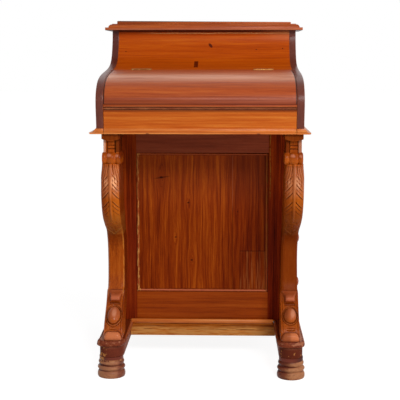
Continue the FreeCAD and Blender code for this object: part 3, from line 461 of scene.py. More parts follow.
arm_ovolo_wood, at, colour, grain = wood(
    "plinth ovolo mahogany", "Y", (84, 30, 14), (132, 58, 26), (176, 92, 44), seed=6)
across, deep, up = at.parts()
outer_side = (abs(across) - 0.229).rise(0, 0.025)
ridge = up.band(0.088, 0.093, 0.095, 0.097) * 0.1
worn = (at.cloud(0.008, 4, 2) + ridge + outer_side * 0.12).rise(0.6, 0.72) * 0.6
finish(
    arm_ovolo_wood, at, colour, grain,
    (deep.rise(-0.225, -0.255) * 0.65, MAROON),
    (worn, (180, 116, 84)),
    rough=0.4 + worn * 0.2, gloss=0.05,
)
ovolo = drift(squared(refined("arm_mouldings", 0.0006)))
settle(ovolo, "carcass", "plinth_mahogany", arm_ovolo_wood, "arm_mouldings")

rail_wood, at, colour, grain = wood(
    "plinth rail mahogany", "X", (112, 46, 6), (164, 84, 18), (200, 118, 44), seed=8, contrast=1.5)
across, deep, up = at.parts()
bare_edge = at.cloud(0.03, 4, 7, X=3) * 0.02 + 0.068
bare = (bare_edge - up).rise(-0.008, 0.006) * deep.rise(0, -0.01)
bare *= at.cloud(0.004, 4, 1, X=9).rise(0.3, 0.6)
split = abs(up - 0.0735 + (at.cloud(0.03, 2, 5, X=3) - 0.5) * 0.004).rise(0.001, 0.0003)
split *= at.cloud(0.012, 3, 6, X=4).rise(0.48, 0.56)
finish(
    rail_wood, at, colour, grain,
    (bare * 0.9, (200, 138, 74)),
    (split * 0.7, (70, 26, 6)),
    rough=0.4 + bare * 0.25, gloss=0.04,
)
kept(rail_wood, "plinth_rails", ease=0.001)

STRIP_RISE = 0.004

orange_wood, at, colour, grain = wood(
    "moulding mahogany", "X", (166, 75, 22), (202, 112, 45), (221, 144, 76),
    ribbon=0.012, seed=11, contrast=0.9)
across, deep, up = at.parts()
dent = abs(across + 0.128).least(abs(across - 0.143)).rise(0.0045, 0.0025) * up.rise(0.6215, 0.62)
finish(orange_wood, at, colour, grain, (dent * up.rise(0.5, 0.6) * 0.8, (96, 40, 14)),
       rough=0.32, gloss=0.2)
strip = refined("plinth_moulding", 0.0004)
for vertex in strip.data.vertices:
    vertex.co.z += STRIP_RISE
settle(strip, "carcass", "slide_mahogany", orange_wood, "plinth_moulding")


# ---- Pedestal ----
# A narrow box of framed panels: stiles and rails round one sunk panel at the front and one
# at the left, each held by four mitred beads, and a plain board at the back.
stile_wood, at, colour, grain = wood(
    "stile mahogany", "Z", (64, 10, 2), (112, 30, 6), (140, 50, 12), ribbon=0.018, seed=14)
across, deep, up = at.parts()
rubbed_edge = abs(across - 0.1808 + (at.cloud(0.03, 2, 3, Z=3) - 0.5) * 0.008)
rubbed_edge = rubbed_edge.rise(0.0022, 0.0004) * up.rise(0.42, 0.45)
rubbed_edge *= at.cloud(0.006, 3, 2).rise(0.35, 0.6)
finish(
    stile_wood, at, colour, grain,
    # Painted shade on the right stile, where the right leg shades it.
    (across.rise(0, 0.12), (236, 218, 180), "MULTIPLY"),
    # Painted light: the upper part is lightened against the shadow under the body.
    (up.rise(0.36, 0.52), (1.35, 1.75, 1, 1), "MULTIPLY"),
    (rubbed_edge * 0.55, (158, 110, 40)),
    gloss=0.03,
)
kept(stile_wood, "front_stiles", "drawer_posts", ease=0.0008)

cross_wood, at, colour, grain = wood(
    "rail mahogany", "X", (104, 32, 4), (144, 57, 7), (166, 76, 18), seed=17, contrast=0.6)
upper, _ = timber(at, "X", (92, 34, 20), (137, 61, 36), (160, 82, 54), seed=18, contrast=0.5)
finish(cross_wood, at, colour, grain, (at.parts()[2].rise(0.5, 0.56), upper), gloss=0.05)
kept(cross_wood, "front_rails", ease=0.0008)

side_frame_wood, at = new_material("left frame mahogany")
across, deep, up = at.parts()
rails = (abs(up - 0.3635) - 0.1885).rise(-0.0005, 0.0005)
rails *= (abs(deep - 0.112) - 0.098).rise(0.0005, -0.0005)
upright, grain = timber(at, "Z", (86, 26, 8), (136, 56, 20), (164, 82, 34), seed=20)
level, _ = timber(at, "Y", (86, 26, 8), (140, 58, 20), (168, 84, 34), seed=22)
finish(side_frame_wood, at, upright, grain, (rails, level))
kept(side_frame_wood, "left_frame", ease=0.0008)

PANEL_KNOTS = (
    (-0.11, 0.4851, 0.0045),
    (-0.0377, 0.417, 0.0034),
    (-0.0716, 0.3232, 0.003),
    (0.0938, 0.3928, 0.0017),
    (-0.0288, 0.2607, 0.0034),
)
PANEL_SEAM_X = 0.081
PATCH_X = 0.1015
PATCH_TOP = 0.286

panel_wood, at = new_material("panel mahogany")
across, deep, up = at.parts()
swirl = across * 0
knots = across * 0
for knot_x, knot_z, knot_size in PANEL_KNOTS:
    aside = (across - knot_x) / (knot_size * 2)
    above = (up - knot_z) / (knot_size * 7)
    reach = aside * aside + above * above
    swirl += aside * (reach + 1) ** -1.5 * (knot_size * 5)
    spot = aside * aside * 4 + (up - knot_z) * (up - knot_z) * (2 / knot_size ** 2)
    knots = knots.most(spot.rise(1.4, 0.3))
seam = abs(across - PANEL_SEAM_X)
second_board = (across - PANEL_SEAM_X).rise(-0.0001, 0.0001)
wander = (at.cloud(0.05, 2, 5, Z=4) - 0.5) * 0.014
bent = at.node("CombineXYZ", {}, {0: across - swirl + wander + second_board * 0.35, 1: deep, 2: up})
colour, grain = timber(
    bent, "Z", (93, 23, 2), (133, 48, 4), (170, 79, 13), ribbon=0.026, seed=26, contrast=1.05)
# Painted light: the panel's upper part, most of all at the left, is lightened against the shadow under
# the body.
painted_light_upper_left = up.rise(0.36, 0.5) * across.rise(0.12, 0.02)
smudge_x = (across + 0.108) / 0.022
smudge_z = (up - 0.485 - (across + 0.108) * 0.16) / 0.0022
seam_tint = up.rise(0.38, 0.44).blend((48, 12, 4), (150, 84, 56))
patch = (across - PATCH_X).rise(-0.0003, 0.0003) * (up - PATCH_TOP).rise(0.0003, -0.0003)
streaks = at.cloud(0.004, 3, 3, Z=20).rise(0.45, 0.65)
joint = abs(up - PATCH_TOP).rise(0.0016, 0.0006) * across.rise(PATCH_X - 0.001, PATCH_X + 0.001)
side_joint = abs(across - PATCH_X).rise(0.0012, 0.0004) * up.rise(PATCH_TOP, PATCH_TOP - 0.002)
finish(
    panel_wood, at, colour, grain - seam.rise(0.0008, 0) * 3,
    # Painted shade: darker towards the right.
    ((across - PANEL_SEAM_X).rise(-0.05, 0.01) * 0.75, (206, 178, 160), "MULTIPLY"),
    # Painted light: lighter and warmer towards the top, most of all at the left.
    (painted_light_upper_left, (1.32, 1.4, 1.35, 1), "MULTIPLY"),
    (up.rise(0.36, 0.5) * 0.12, (150, 80, 50)),
    ((smudge_x * smudge_x + smudge_z * smudge_z).rise(1.6, 0.1) * 0.6, (60, 16, 4)),
    (knots * 0.85, (44, 8, 2)),
    (seam.rise(0.0012, 0.0003) * 0.55, seam_tint),
    (patch * streaks * 0.45, (166, 92, 44)),
    (joint.most(side_joint * 0.6) * 0.7, (48, 12, 4)),
    gloss=0.03,
)
kept(panel_wood, "front_panel", "left_panel")


def within(value, low, high):
    """How far a coordinate lies inside two limits."""
    return (high - low) / 2 - abs(value - (high + low) / 2)


BEAD_LOW, BEAD_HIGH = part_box("front_beading")
BEAD_WIDTH = 0.008

bead_wood, at, colour, grain = wood(
    "bead mahogany", "Z", (90, 24, 6), (140, 56, 18), (172, 88, 38),
    ribbon=0.006, seed=29, contrast=0.7)
across, deep, up = at.parts()
off_edge = within(across, BEAD_LOW.x, BEAD_HIGH.x).least(within(up, BEAD_LOW.z, BEAD_HIGH.z))
off_crest = abs(off_edge - BEAD_WIDTH / 2)
top_bead = up.rise(BEAD_HIGH.z - BEAD_WIDTH, BEAD_HIGH.z - BEAD_WIDTH * 0.9)
low_bead = up.rise(BEAD_LOW.z + BEAD_WIDTH, BEAD_LOW.z + BEAD_WIDTH * 0.9)
worn = at.cloud(0.004, 4, 6, Z=4).rise(0.44, 0.58) * across.rise(-0.1655, -0.1675)
worn *= at.cloud(0.07, 2, 2).rise(0.3, 0.5) * off_crest.rise(0.0032, 0.0022)
right_bead = across.rise(0.1655, 0.1675) * off_crest.rise(0.0026, 0.001)
flecks = at.cloud(0.005, 3, 9, Z=4).rise(0.42, 0.6)
finish(
    bead_wood, at, colour, grain,
    # Painted highlight along each bead's crest.
    (off_crest.rise(0.0018, 0) * 0.6, (190, 84, 46)),
    # Painted shade in the hollows along the bead's edges.
    (off_crest.rise(0.0026, 0.0036) * 0.85, (46, 10, 2)),
    (top_bead * 0.3, (150, 70, 38)),
    # A brighter painted highlight on the crest of the bottom bead.
    (low_bead * off_crest.rise(0.0022, 0) * 0.6, (214, 126, 92)),
    (worn * 0.8, (206, 146, 74)),
    (right_bead * flecks * 0.7, (150, 92, 36)),
    rough=0.35, gloss=0.06,
)
for name in ("front_beading", "left_beading"):
    settle(refined(name, 0.0008, 3), "carcass", "panel_mahogany", bead_wood, name)

PINE = ((150, 104, 58), (196, 150, 98), (216, 176, 126))
PINE_FIGURE = {"ribbon": 0.03, "contrast": 0.8}


def lining(name, grain_axis, seed):
    """Planed softwood, left without polish where nobody looks."""
    material, place = new_material(name)
    tint, relief = timber(place, grain_axis, *PINE, seed=seed, **PINE_FIGURE)
    dust = place.cloud(0.08, 5, seed + 1).rise(0.45, 0.75)
    return finish(material, place, tint, relief, (dust * 0.4, (128, 92, 60)), rough=0.62)


pine_across = lining("lining wood, grain across", "X", 31)
pine_deep = lining("lining wood, grain front to back", "Y", 33)
back_wood, at, colour, grain = wood(
    "back boards", "Z", (88, 36, 14), (132, 64, 30), (160, 90, 48), ribbon=0.03, seed=36)
plank = at.parts()[0] + 0.9
plank = abs(plank.modulo(0.118) - 0.059).rise(0.0582, 0.0588)
finish(back_wood, at, colour, grain - plank * 4, (plank * 0.8, (40, 16, 8)), rough=0.5)
kept(back_wood, "pedestal_back", ease=0.0006)
kept(pine_across, "drawer_runners", "slide_runners", ease=0.0006)


# ---- Drawers ----
# Four drawers, deeper towards the floor, pull out to the right between mahogany rails.
# Each is a softwood box with a mahogany front and two turned mushroom knobs.
drawer_wood, at, colour, grain = wood(
    "drawer front mahogany", "Y", (112, 42, 14), (158, 74, 28), (192, 108, 50), ribbon=0.024, seed=38)
shade = at.cloud(0.12, 3, 2)
finish(drawer_wood, at, colour, grain, (shade.rise(0.4, 0.7) * 0.25, (110, 44, 18)),
       rough=0.3, gloss=0.25)
kept(drawer_wood, "drawer_rails", ease=0.0008)

knob_wood = finish(
    *wood("knob mahogany", "X", (96, 30, 12), (146, 62, 26), (178, 92, 44), ribbon=0.008, seed=41),
    rough=0.25, gloss=0.35)

KNOB_RADIUS = 0.013
KNOB_LENGTH = 0.026
knob_profile = [(0.008, 0), (0.008, 0.0014)]
bend(knob_profile, (0.006, 0.0018), (0.0058, 0.0042), 4)
knob_profile += [(0.0055, 0.01), (0.006, 0.0135), (0.0078, 0.0146)]
bend(knob_profile, (0.0134, 0.0165), (KNOB_RADIUS, 0.0205), 6)
bend(knob_profile, (0.0118, 0.0236), (0.007, 0.025), 6)
knob_profile += [(0.0064, 0.0246), (0.0056, 0.025), (0.003, KNOB_LENGTH - 0.0003),
                 (0.0008, KNOB_LENGTH)]

TAIL_PITCH = 0.024
for number in range(1, 5):
    body = "drawer_%d" % number
    front = body + "_front"
    low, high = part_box(front)
    box_wood, at, colour, grain = wood(
        "drawer %d box wood" % number, "X", *PINE, seed=43 + number, **PINE_FIGURE)
    across, deep, up = at.parts()
    tooth = abs((up - low.z).modulo(TAIL_PITCH) - TAIL_PITCH / 2)
    tail = (tooth - 0.0045 - (across - (low.x - 0.009)) * 0.25).rise(0.0002, -0.0002)
    tail *= across.rise(low.x - 0.0092, low.x - 0.0088)
    outside = within(deep, low.y, high.y).rise(0.0012, 0.001)
    finish(box_wood, at, colour, grain, (tail * outside * 0.85, (140, 70, 34)), rough=0.6)
    kept(box_wood, body + "_box", ease=0.0005)
    kept(drawer_wood, front, ease=0.001)
    knob_low, knob_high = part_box(body + "_knobs")
    middle_z = (knob_low.z + knob_high.z) / 2
    pair = []
    for y in (knob_low.y + KNOB_RADIUS, knob_high.y - KNOB_RADIUS):
        pair.append(turned("knob", (high.x, y, middle_z), "X", knob_profile, 40))
    settle(joined(body + "_turned_knobs", pair), body, "carved_mahogany", knob_wood, body + "_knobs")


# ---- Carved bracket legs ----
# Each leg is one block of mahogany, sawn to an S and carved: a cap, a sunk neck and a collar
# under the body, an acanthus leaf down the knee, a chamfered shaft, and at the foot two
# scrolls with an oval cabochon between them.
LEG_HALF = 0.022
COLLAR_FRONT = 0.003
BODY_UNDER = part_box("body_bottom")[0].z
BELLY_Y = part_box("front_leg_left")[0].y - COLLAR_FRONT
LEG_FRONT = (
    (0.012, 0), (0.015, 0.024), (0.03, 0.042), (0.07, 0.069), (0.102, 0.103), (0.12, 0.136),
    (0.117, 0.22), (0.1, 0.256), (0.038, 0.3), (0.003, 0.35), (0.003, 0.4), (0.012, 0.445),
)
LEG_BACK = (
    (0.092, 0), (0.104, 0.03), (0.15, 0.072), (0.184, 0.12), (0.187, 0.19),
    (0.174, 0.255), (0.122, 0.305), (0.09, 0.36), (0.086, 0.41), (0.086, 0.445),
)
LEAF_LENGTH = 0.222
LEAF_RISE = 0.0018
LEAF_TIP_SLANT = 0.032
# The leaf's lobes overlap like shingles. Each ends in a cut: how far below the collar it
# starts at the spine, and how deep it is.
LOBE_ENDS = (
    (0.019, 0.0018), (0.03, 0.0012), (0.041, 0.0026), (0.051, 0.0012), (0.0612, 0.0038),
    (0.0857, 0.0036), (0.0975, 0.0018), (0.112, 0.0016),
)
LOBE_FALL = 0.03
# The flutes under the collar: their shares of the half width at the top and lower down.
FLUTES = ((0.24, 0.4), (0.44, 0.66), (0.66, 0.9))
FLUTE_LENGTH = 0.034
CHAMFER = 0.0048
KNEE_BOW = 0.0165
UPPER_SCROLL = (0.38, 0.417)
# A cabochon: how far down it sits, its half width and half length, and how proud it stands.
CABOCHONS = {"left": (0.457, 0.016, 0.0268, 0.0125), "right": (0.4548, 0.0152, 0.0232, 0.012)}
# Two grooves ring the cabochon: their reach in cabochons, and their depth.
RINGS = ((1.06, 0.0024), (1.25, 0.0024))
SMALL_CUTS = (0.493, 0.499)
LOWER_SCROLL = (0.5045, 0.5295)
LOWER_SCROLL_PROUD = 0.0122
KNEE_END = 0.236
SHAFT_END = 0.38
FOOT_END = 0.524
PUNCHES = 260
POINTS_ACROSS = 73
SIDE_SHARES = (0.12, 0.3, 0.5, 0.7, 0.88)
BACK_EASE = 0.0015
BLUR_REACH = 14
TOUCHING = 0.000002
BOSS_BELOW = 0.37
BOSS_PROUD = 0.005


def pulled_line(pulls):
    """A smooth line in the leg's side view, drawn towards its points: many (y, z) points."""
    curve = bpy.data.curves.new("leg line", "CURVE")
    curve.dimensions = "3D"
    spline = curve.splines.new("NURBS")
    spline.points.add(len(pulls) - 1)
    for point, (setback, height) in zip(spline.points, pulls):
        point.co = (0, BELLY_Y + setback, ARM_TOP + height, 1)
    spline.order_u = 4
    spline.use_endpoint_u = True
    spline.resolution_u = 24
    line = bpy.data.meshes.new_from_object(bpy.data.objects.new("leg line", curve))
    points = np.array([vertex.co[1:] for vertex in line.vertices])
    return points[::-1]


def spread(points, shares):
    """Points of a line at given shares of its length, and that length."""
    steps = np.linalg.norm(np.diff(points, axis=0), axis=1)
    run = np.concatenate([[0], np.cumsum(steps)])
    y = np.interp(shares * run[-1], run, points[:, 0])
    z = np.interp(shares * run[-1], run, points[:, 1])
    return np.stack([y, z], axis=1), run[-1]


def ramp(value, low, high):
    """0 below low, 1 above high and smooth between."""
    t = np.clip((value - low) / (high - low), 0, 1)
    return t * t * (3 - 2 * t)


def bell(value, width):
    return np.exp(-(value / width) ** 2)


def leaf(x, down):
    """The acanthus leaf: a spine between gutters, flutes, shingled lobes and a punched ground."""
    q = np.abs(x) / LEG_HALF
    tip = LEAF_LENGTH - LEAF_TIP_SLANT * q
    relief = LEAF_RISE * ramp(tip - down, 0, 0.0012)
    fading = ramp(0.176 - down, 0, 0.05)
    spine_half = 0.0034 - 0.008 * down
    relief += 0.0022 * fading * bell(x, spine_half)
    relief -= 0.0007 * fading * bell(np.abs(x) - spine_half - 0.0022, 0.0014)
    along = down - LOBE_FALL * q ** 0.85
    reach = bell(q - 0.52, 0.36) * ramp(q, 0.08, 0.25) * 1.15
    for end, depth in LOBE_ENDS:
        past = along - end
        drop = ramp(past, -0.0006, 0.0006) * np.clip(1 - past / 0.0105, 0, 1) ** 2
        relief += reach * depth * (0.15 * bell(past + 0.0022, 0.0022) - drop)
    for start, lower in FLUTES:
        line = (start + (lower - start) * np.clip(down / FLUTE_LENGTH, 0, 1.2) ** 1.6) * LEG_HALF
        fade = ramp(FLUTE_LENGTH + 0.01 * start - along, 0, 0.01)
        gap = np.abs(x) - line
        relief -= fade * (0.001 * bell(gap, 0.0009) + 0.0008 * bell(gap, 0.0022))
    ground = ramp(down, 0.15, 0.165) * ramp(tip - down, 0.002, 0.004)
    dice = np.random.default_rng(5)
    punched_x = dice.uniform(-LEG_HALF, LEG_HALF, PUNCHES)
    for px, pd in zip(punched_x, dice.uniform(0.148, LEAF_LENGTH, PUNCHES)):
        relief -= 0.0008 * ground * np.exp(-((x - px) ** 2 + (down - pd) ** 2) / 0.0011 ** 2)
    border = bell(tip - down - 0.0016, 0.0008) * ramp(down, 0.19, 0.2)
    return relief + 0.0013 * border


def foot_carving(x, down, cabochon):
    """The two scrolls, the cabochon in its double ring, and the small cuts under it."""
    wide = np.abs(x)
    first, last = UPPER_SCROLL
    share = (down - first) / (last - first)
    flare = np.clip(1 - share / 0.62, 0, 1)
    half = 0.0132 + 0.0098 * flare ** 1.7
    swell = ramp(share, 0, 0.06) * (0.004 + 0.0085 * ramp(share, 0.12, 0.72))
    swell *= np.sqrt(np.clip(1 - (np.maximum(share - 0.7, 0) / 0.3) ** 2, 0, 1))
    relief = swell * ramp(half - wide, -0.0004, 0.0042) ** 0.7
    relief -= 0.003 * bell(share - 1.06, 0.09) * ramp(0.014 - wide, 0, 0.002)
    framed = ramp(down, 0.392, 0.4) * ramp(0.502 - down, 0, 0.004)
    relief -= 0.0014 * bell(wide - 0.0178, 0.0008) * framed
    centre, half_wide, half_long, proud = cabochon
    egg = half_wide * (1 + 0.06 * (down - centre) / half_long)
    reach = np.sqrt((x / egg) ** 2 + ((down - centre) / half_long) ** 2)
    relief += proud * np.clip(1 - reach ** 2, 0, 1) ** 0.55
    for ring, depth in RINGS:
        relief -= depth * bell(reach - ring, 0.05)
    relief += 0.0014 * bell(reach - 1.155, 0.045)
    for line in SMALL_CUTS:
        bowed = down - line + 12 * x * x
        relief -= 0.0018 * bell(bowed, 0.0011) * ramp(0.0105 - wide, 0, 0.003)
    first, last = LOWER_SCROLL
    half = 0.018 + 0.004 * ramp(down, first, last)
    share = np.clip((down - first) / (last - first), 0, 1)
    rounded = np.abs(2 * share - 1) ** 2.2 + (wide / half) ** 6
    return relief + LOWER_SCROLL_PROUD * np.clip(1 - rounded, 0, 1) ** 0.5


def blurred(heights, reach):
    """Heights averaged over the neighbours on every side."""
    result = heights
    for _ in range(reach):
        padded = np.pad(result, 1, mode="edge")
        result = (padded[:-2, 1:-1] + padded[2:, 1:-1] + padded[1:-1, :-2] + padded[1:-1, 2:]
                  + result) / 5
    return result


def carved_bracket(middle, cabochon):
    """The S bracket as a sleeve of points: stations down its length, each a ring round it."""
    front_line = pulled_line(LEG_FRONT)
    leafy = np.arange(0, KNEE_END, 0.0008)
    plain = np.arange(KNEE_END, SHAFT_END - 0.006, 0.0023)
    scrolled = np.arange(SHAFT_END - 0.006, FOOT_END, 0.001)
    stations = np.concatenate([leafy, plain, scrolled])
    front_length = np.linalg.norm(np.diff(front_line, axis=0), axis=1).sum()
    shares = np.append(stations / front_length, 1)
    front, _ = spread(front_line, shares)
    back, _ = spread(pulled_line(LEG_BACK), shares)
    down = (shares * front_length)[:, None]
    tangent = np.gradient(front, axis=0)
    tangent /= np.linalg.norm(tangent, axis=1)[:, None]
    outward = np.stack([tangent[:, 1], -tangent[:, 0]], axis=1)
    inward = back - front
    depth = np.linalg.norm(inward, axis=1)[:, None]
    inward = inward / depth
    a = np.linspace(-1, 1, POINTS_ACROSS)
    x = (LEG_HALF * (0.78 * a + 0.22 * np.sin(a * np.pi / 2)))[None, :]
    x = x / x.max() * LEG_HALF
    wide = np.abs(x)
    knee = ramp(KNEE_END - down, 0, 0.03)
    round_inset = KNEE_BOW * (1 - np.sqrt(1 - (0.99 * wide / LEG_HALF) ** 2))
    shaft = ramp(down, KNEE_END - 0.03, KNEE_END) * ramp(SHAFT_END - down, 0, 0.004)
    chamfer_inset = np.clip(wide - (LEG_HALF - CHAMFER), 0, CHAMFER) * shaft
    foot_inset = np.clip(wide - (LEG_HALF - 0.0012), 0, 0.0012) * ramp(down, 0.38, 0.384)
    inset = round_inset * knee + chamfer_inset + foot_inset
    relief = leaf(x, down) + foot_carving(x, down, cabochon)
    relief -= 0.0005 * bell(wide - (LEG_HALF - CHAMFER - 0.0016), 0.0006) * shaft
    rim = inset[:, -1:]
    side_depth = np.concatenate([rim + (depth - rim) * share for share in SIDE_SHARES], axis=1)
    corner = depth - BACK_EASE
    ring_depth = np.concatenate([inset, side_depth, corner, depth, depth, depth, corner,
                                 side_depth[:, ::-1], inset[:, :1]], axis=1)
    side_x = np.full(len(SIDE_SHARES), LEG_HALF)
    back_half = LEG_HALF - BACK_EASE
    back_x = [LEG_HALF, back_half, 0, -back_half, -LEG_HALF]
    ring_x = np.concatenate([x[0], side_x, back_x, -side_x, [-LEG_HALF]])
    carving = np.zeros_like(ring_depth)
    carving[:, :POINTS_ACROSS] = relief
    carving[:, -1] = relief[:, 0]
    count = ring_x.size
    points = np.empty((shares.size, count, 3))
    wide_share = 1 + 0.11 * ramp(down, 0, 0.04) - 0.2 * ramp(down, 0.135, 0.235)
    wide_share += 0.06 * ramp(down, 0.374, 0.384) + 0.03 * ramp(down, 0.49, 0.52)
    points[..., 0] = middle + ring_x[None, :] * wide_share
    points[..., 1:] = front[:, None, :] + inward[:, None, :] * ring_depth[..., None]
    points[..., 1:] += outward[:, None, :] * carving[..., None]
    deselect()
    bpy.ops.mesh.primitive_grid_add(x_subdivisions=count - 1, y_subdivisions=shares.size - 1, size=1)
    piece = bpy.context.object
    piece.data.vertices.foreach_set("co", points.ravel())
    mark = piece.data.attributes.new("carving", "FLOAT", "POINT")
    sharpness = np.zeros_like(carving)
    sharpness[:, :POINTS_ACROSS] = relief - blurred(relief, BLUR_REACH)
    mark.data.foreach_set("value", (1000 * sharpness).ravel())
    boss = piece.data.attributes.new("boss", "FLOAT", "POINT")
    boss.data.foreach_set("value", (carving * (down > BOSS_BELOW) / BOSS_PROUD).ravel())
    edit_all()
    bpy.ops.mesh.remove_doubles(threshold=TOUCHING)
    bpy.ops.mesh.select_all(action="SELECT")
    bpy.ops.mesh.fill_holes(sides=0)
    bpy.ops.mesh.select_all(action="SELECT")
    bpy.ops.mesh.normals_make_consistent(inside=False)
    leave_edit()
    return piece


def block(name, low, high, cuts=0):
    """A cube primitive stretched between two corners and divided evenly."""
    deselect()
    centre = [(a + b) / 2 for a, b in zip(low, high)]
    lengths = [b - a for a, b in zip(low, high)]
    bpy.ops.mesh.primitive_cube_add(size=1, location=centre, scale=lengths)
    piece = bpy.context.object
    piece.name = name
    bpy.ops.object.transform_apply()
    if cuts:
        edit_all()
        bpy.ops.mesh.subdivide(number_cuts=cuts)
        leave_edit()
    return piece


def sink_faces(piece, chosen, move):
    """Extrudes the faces whose centre passes a test, and moves them."""
    only(piece)
    bpy.ops.object.mode_set(mode="EDIT")
    bpy.ops.mesh.select_all(action="DESELECT")
    bpy.ops.mesh.select_mode(type="FACE")
    leave_edit()
    for face in piece.data.polygons:
        face.select = chosen(face.center, face.normal)
    bpy.ops.object.mode_set(mode="EDIT")
    bpy.ops.mesh.extrude_region_move(TRANSFORM_OT_translate={"value": move})
    bpy.ops.mesh.select_mode(type="VERT")
    leave_edit()


def slice_at(piece, spots, normal):
    """Cuts new edges round a piece at several places, square to one axis."""
    only(piece)
    bpy.ops.object.mode_set(mode="EDIT")
    for spot in spots:
        bpy.ops.mesh.select_all(action="SELECT")
        bpy.ops.mesh.bisect(plane_co=spot, plane_no=normal)
    leave_edit()


CAP_HALF = 0.023
CAP_THICK = 0.0125
CAP_BOW = 0.0048
NECK_HALF = 0.0195
NECK_FRONT = 0.015
NECK_SUNK_HALF = 0.0112
NECK_SUNK = 0.0055
NECK_PANEL_HALF = 0.009
NECK_PANEL_PROUD = 0.004
NECK_GROOVES = (BODY_UNDER - 0.029, BODY_UNDER - 0.0375)
GROOVE_HALF = 0.0017
GROOVE_DEPTH = 0.0035
COLLAR_SETBACK = 0.02
COLLAR_DROP = 0.0615
COLLAR_HALF = 0.0225
ROLL_RADIUS = 0.015
CAP_SETBACK = 0.004
CAP_DEPTH = 0.094
NECK_PANEL_DEPTH = 0.03
HEAD_DEPTH = 0.086
HEAD_SHIFT = {"left": 0.0025, "right": 0}
LEAN = {"left": 0, "right": 0.012}
LEAN_PIVOT = 0.33
# Under the knee the inner side is fuller, and the right shaft's outer side is trimmed.
INNER_EXTRA = 0.0036
FULL_BELOW = 0.4
OUTER_TRIM = {"left": 0, "right": 0.0024}
TRIM_HEIGHT = 0.31
EDGE_FADE = 0.07


def leg_head(middle):
    """The cap with its bowed lower edge, the sunk neck and the three-lobed collar roll."""
    cap = block("cap", (middle - CAP_HALF, BELLY_Y + CAP_SETBACK, BODY_UNDER - CAP_THICK),
                (middle + CAP_HALF, BELLY_Y + CAP_DEPTH, BODY_UNDER), 9)
    for vertex in cap.data.vertices:
        if vertex.co.z < BODY_UNDER - CAP_THICK * 0.99:
            vertex.co.z -= CAP_BOW * (1 - ((vertex.co.x - middle) / CAP_HALF) ** 2)
    eased(cap, 0.0012)
    front = BELLY_Y + NECK_FRONT
    neck_low = BODY_UNDER - COLLAR_DROP
    under_cap = BODY_UNDER - CAP_THICK * 0.8
    neck = block("neck", (middle - NECK_HALF, front, neck_low),
                 (middle + NECK_HALF, BELLY_Y + HEAD_DEPTH, under_cap))
    slice_at(neck, [(middle - NECK_SUNK_HALF, 0, 0), (middle + NECK_SUNK_HALF, 0, 0)], (1, 0, 0))
    sink_faces(neck, lambda c, n: n.y < -0.9 and abs(c.x - middle) < NECK_SUNK_HALF, (0, NECK_SUNK, 0))
    eased(neck, 0.0009, 2)
    panel_front = front + NECK_SUNK - NECK_PANEL_PROUD
    panel = block("neck panel", (middle - NECK_PANEL_HALF, panel_front, neck_low),
                  (middle + NECK_PANEL_HALF, BELLY_Y + NECK_PANEL_DEPTH, under_cap))
    for z in NECK_GROOVES:
        slice_at(panel, [(0, 0, z - GROOVE_HALF), (0, 0, z + GROOVE_HALF)], (0, 0, 1))
    sink_faces(panel, lambda c, n: n.y < -0.9 and min(abs(c.z - z) for z in NECK_GROOVES) < GROOVE_HALF,
               (0, GROOVE_DEPTH, 0))
    eased(panel, 0.0007, 2)
    roll = [(0.01, -0.023), (0.014, -0.0226), (0.015, -0.0195), (0.0148, -0.016),
            (0.0136, -0.0128), (0.0124, -0.0112)]
    bend(roll, (0.0214, 0), (0.0124, 0.0112), 12)
    roll += [(radius, -along) for radius, along in roll[4::-1]]
    collar = turned("collar", (middle, BELLY_Y + COLLAR_SETBACK, neck_low), "X", roll, 56)
    behind = block("collar block",
                   (middle - COLLAR_HALF, BELLY_Y + COLLAR_SETBACK, neck_low - ROLL_RADIUS),
                   (middle + COLLAR_HALF, BELLY_Y + HEAD_DEPTH, neck_low + ROLL_RADIUS))
    eased(behind, 0.002)
    return [cap, neck, panel, collar, behind]


RIGHT_LOW, RIGHT_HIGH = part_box("front_leg_right")
LEFT_LOW, LEFT_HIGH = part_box("front_leg_left")
LEG_SHIFT = (RIGHT_LOW.x + RIGHT_HIGH.x + LEFT_LOW.x + LEFT_HIGH.x) / 4
LEG_MIDDLE = (RIGHT_LOW.x + RIGHT_HIGH.x) / 2 - LEG_SHIFT

leg_wood, at, colour, grain = wood(
    "carved mahogany", "Z", (114, 42, 4), (156, 68, 12), (181, 93, 27),
    ribbon=0.016, seed=50, contrast=0.7)
carved = at.node("Attribute", {"attribute_name": "carving"}, {}, "Fac")
boss = at.node("Attribute", {"attribute_name": "boss"}, {}, "Fac").rise(0.5, 0.9)
across, deep, up = at.parts()
side = (across - LEG_SHIFT).sign()
offset = across - LEG_SHIFT - side * LEG_MIDDLE
outer = offset * side
right_leg = side.most(0)
on_foot = up.rise(0.215, 0.205)
leaf_top = up.band(0.45, 0.48, 0.53, 0.545)
leaf_low = up.band(0.375, 0.405, 0.46, 0.5)
collar = up.band(0.538, 0.542, 0.57, 0.574)
neck = up.band(0.571, 0.573, 0.602, 0.604)


def oval(middle_x, middle_z, half_x, half_z):
    """1 in the middle of an oval on the face of either leg, falling to 0 at its rim."""
    x = (offset - middle_x) / half_x
    z = (up - middle_z) / half_z
    return (x * x + z * z).rise(1, 0)


# Painted highlights: two soft spots on the upper leaf, weaker on the right leg and kept out of the
# cuts.
painted_highlight = oval(0.0088, 0.498, 0.0092, 0.022) * 0.75 + oval(-0.01, 0.497, 0.007, 0.015) * 0.4
painted_highlight *= carved.rise(-0.5, 0) * (1 - right_leg * 0.4)
shaded_inner_face = offset.rise(0.0205, 0.0215) * (1 - right_leg)
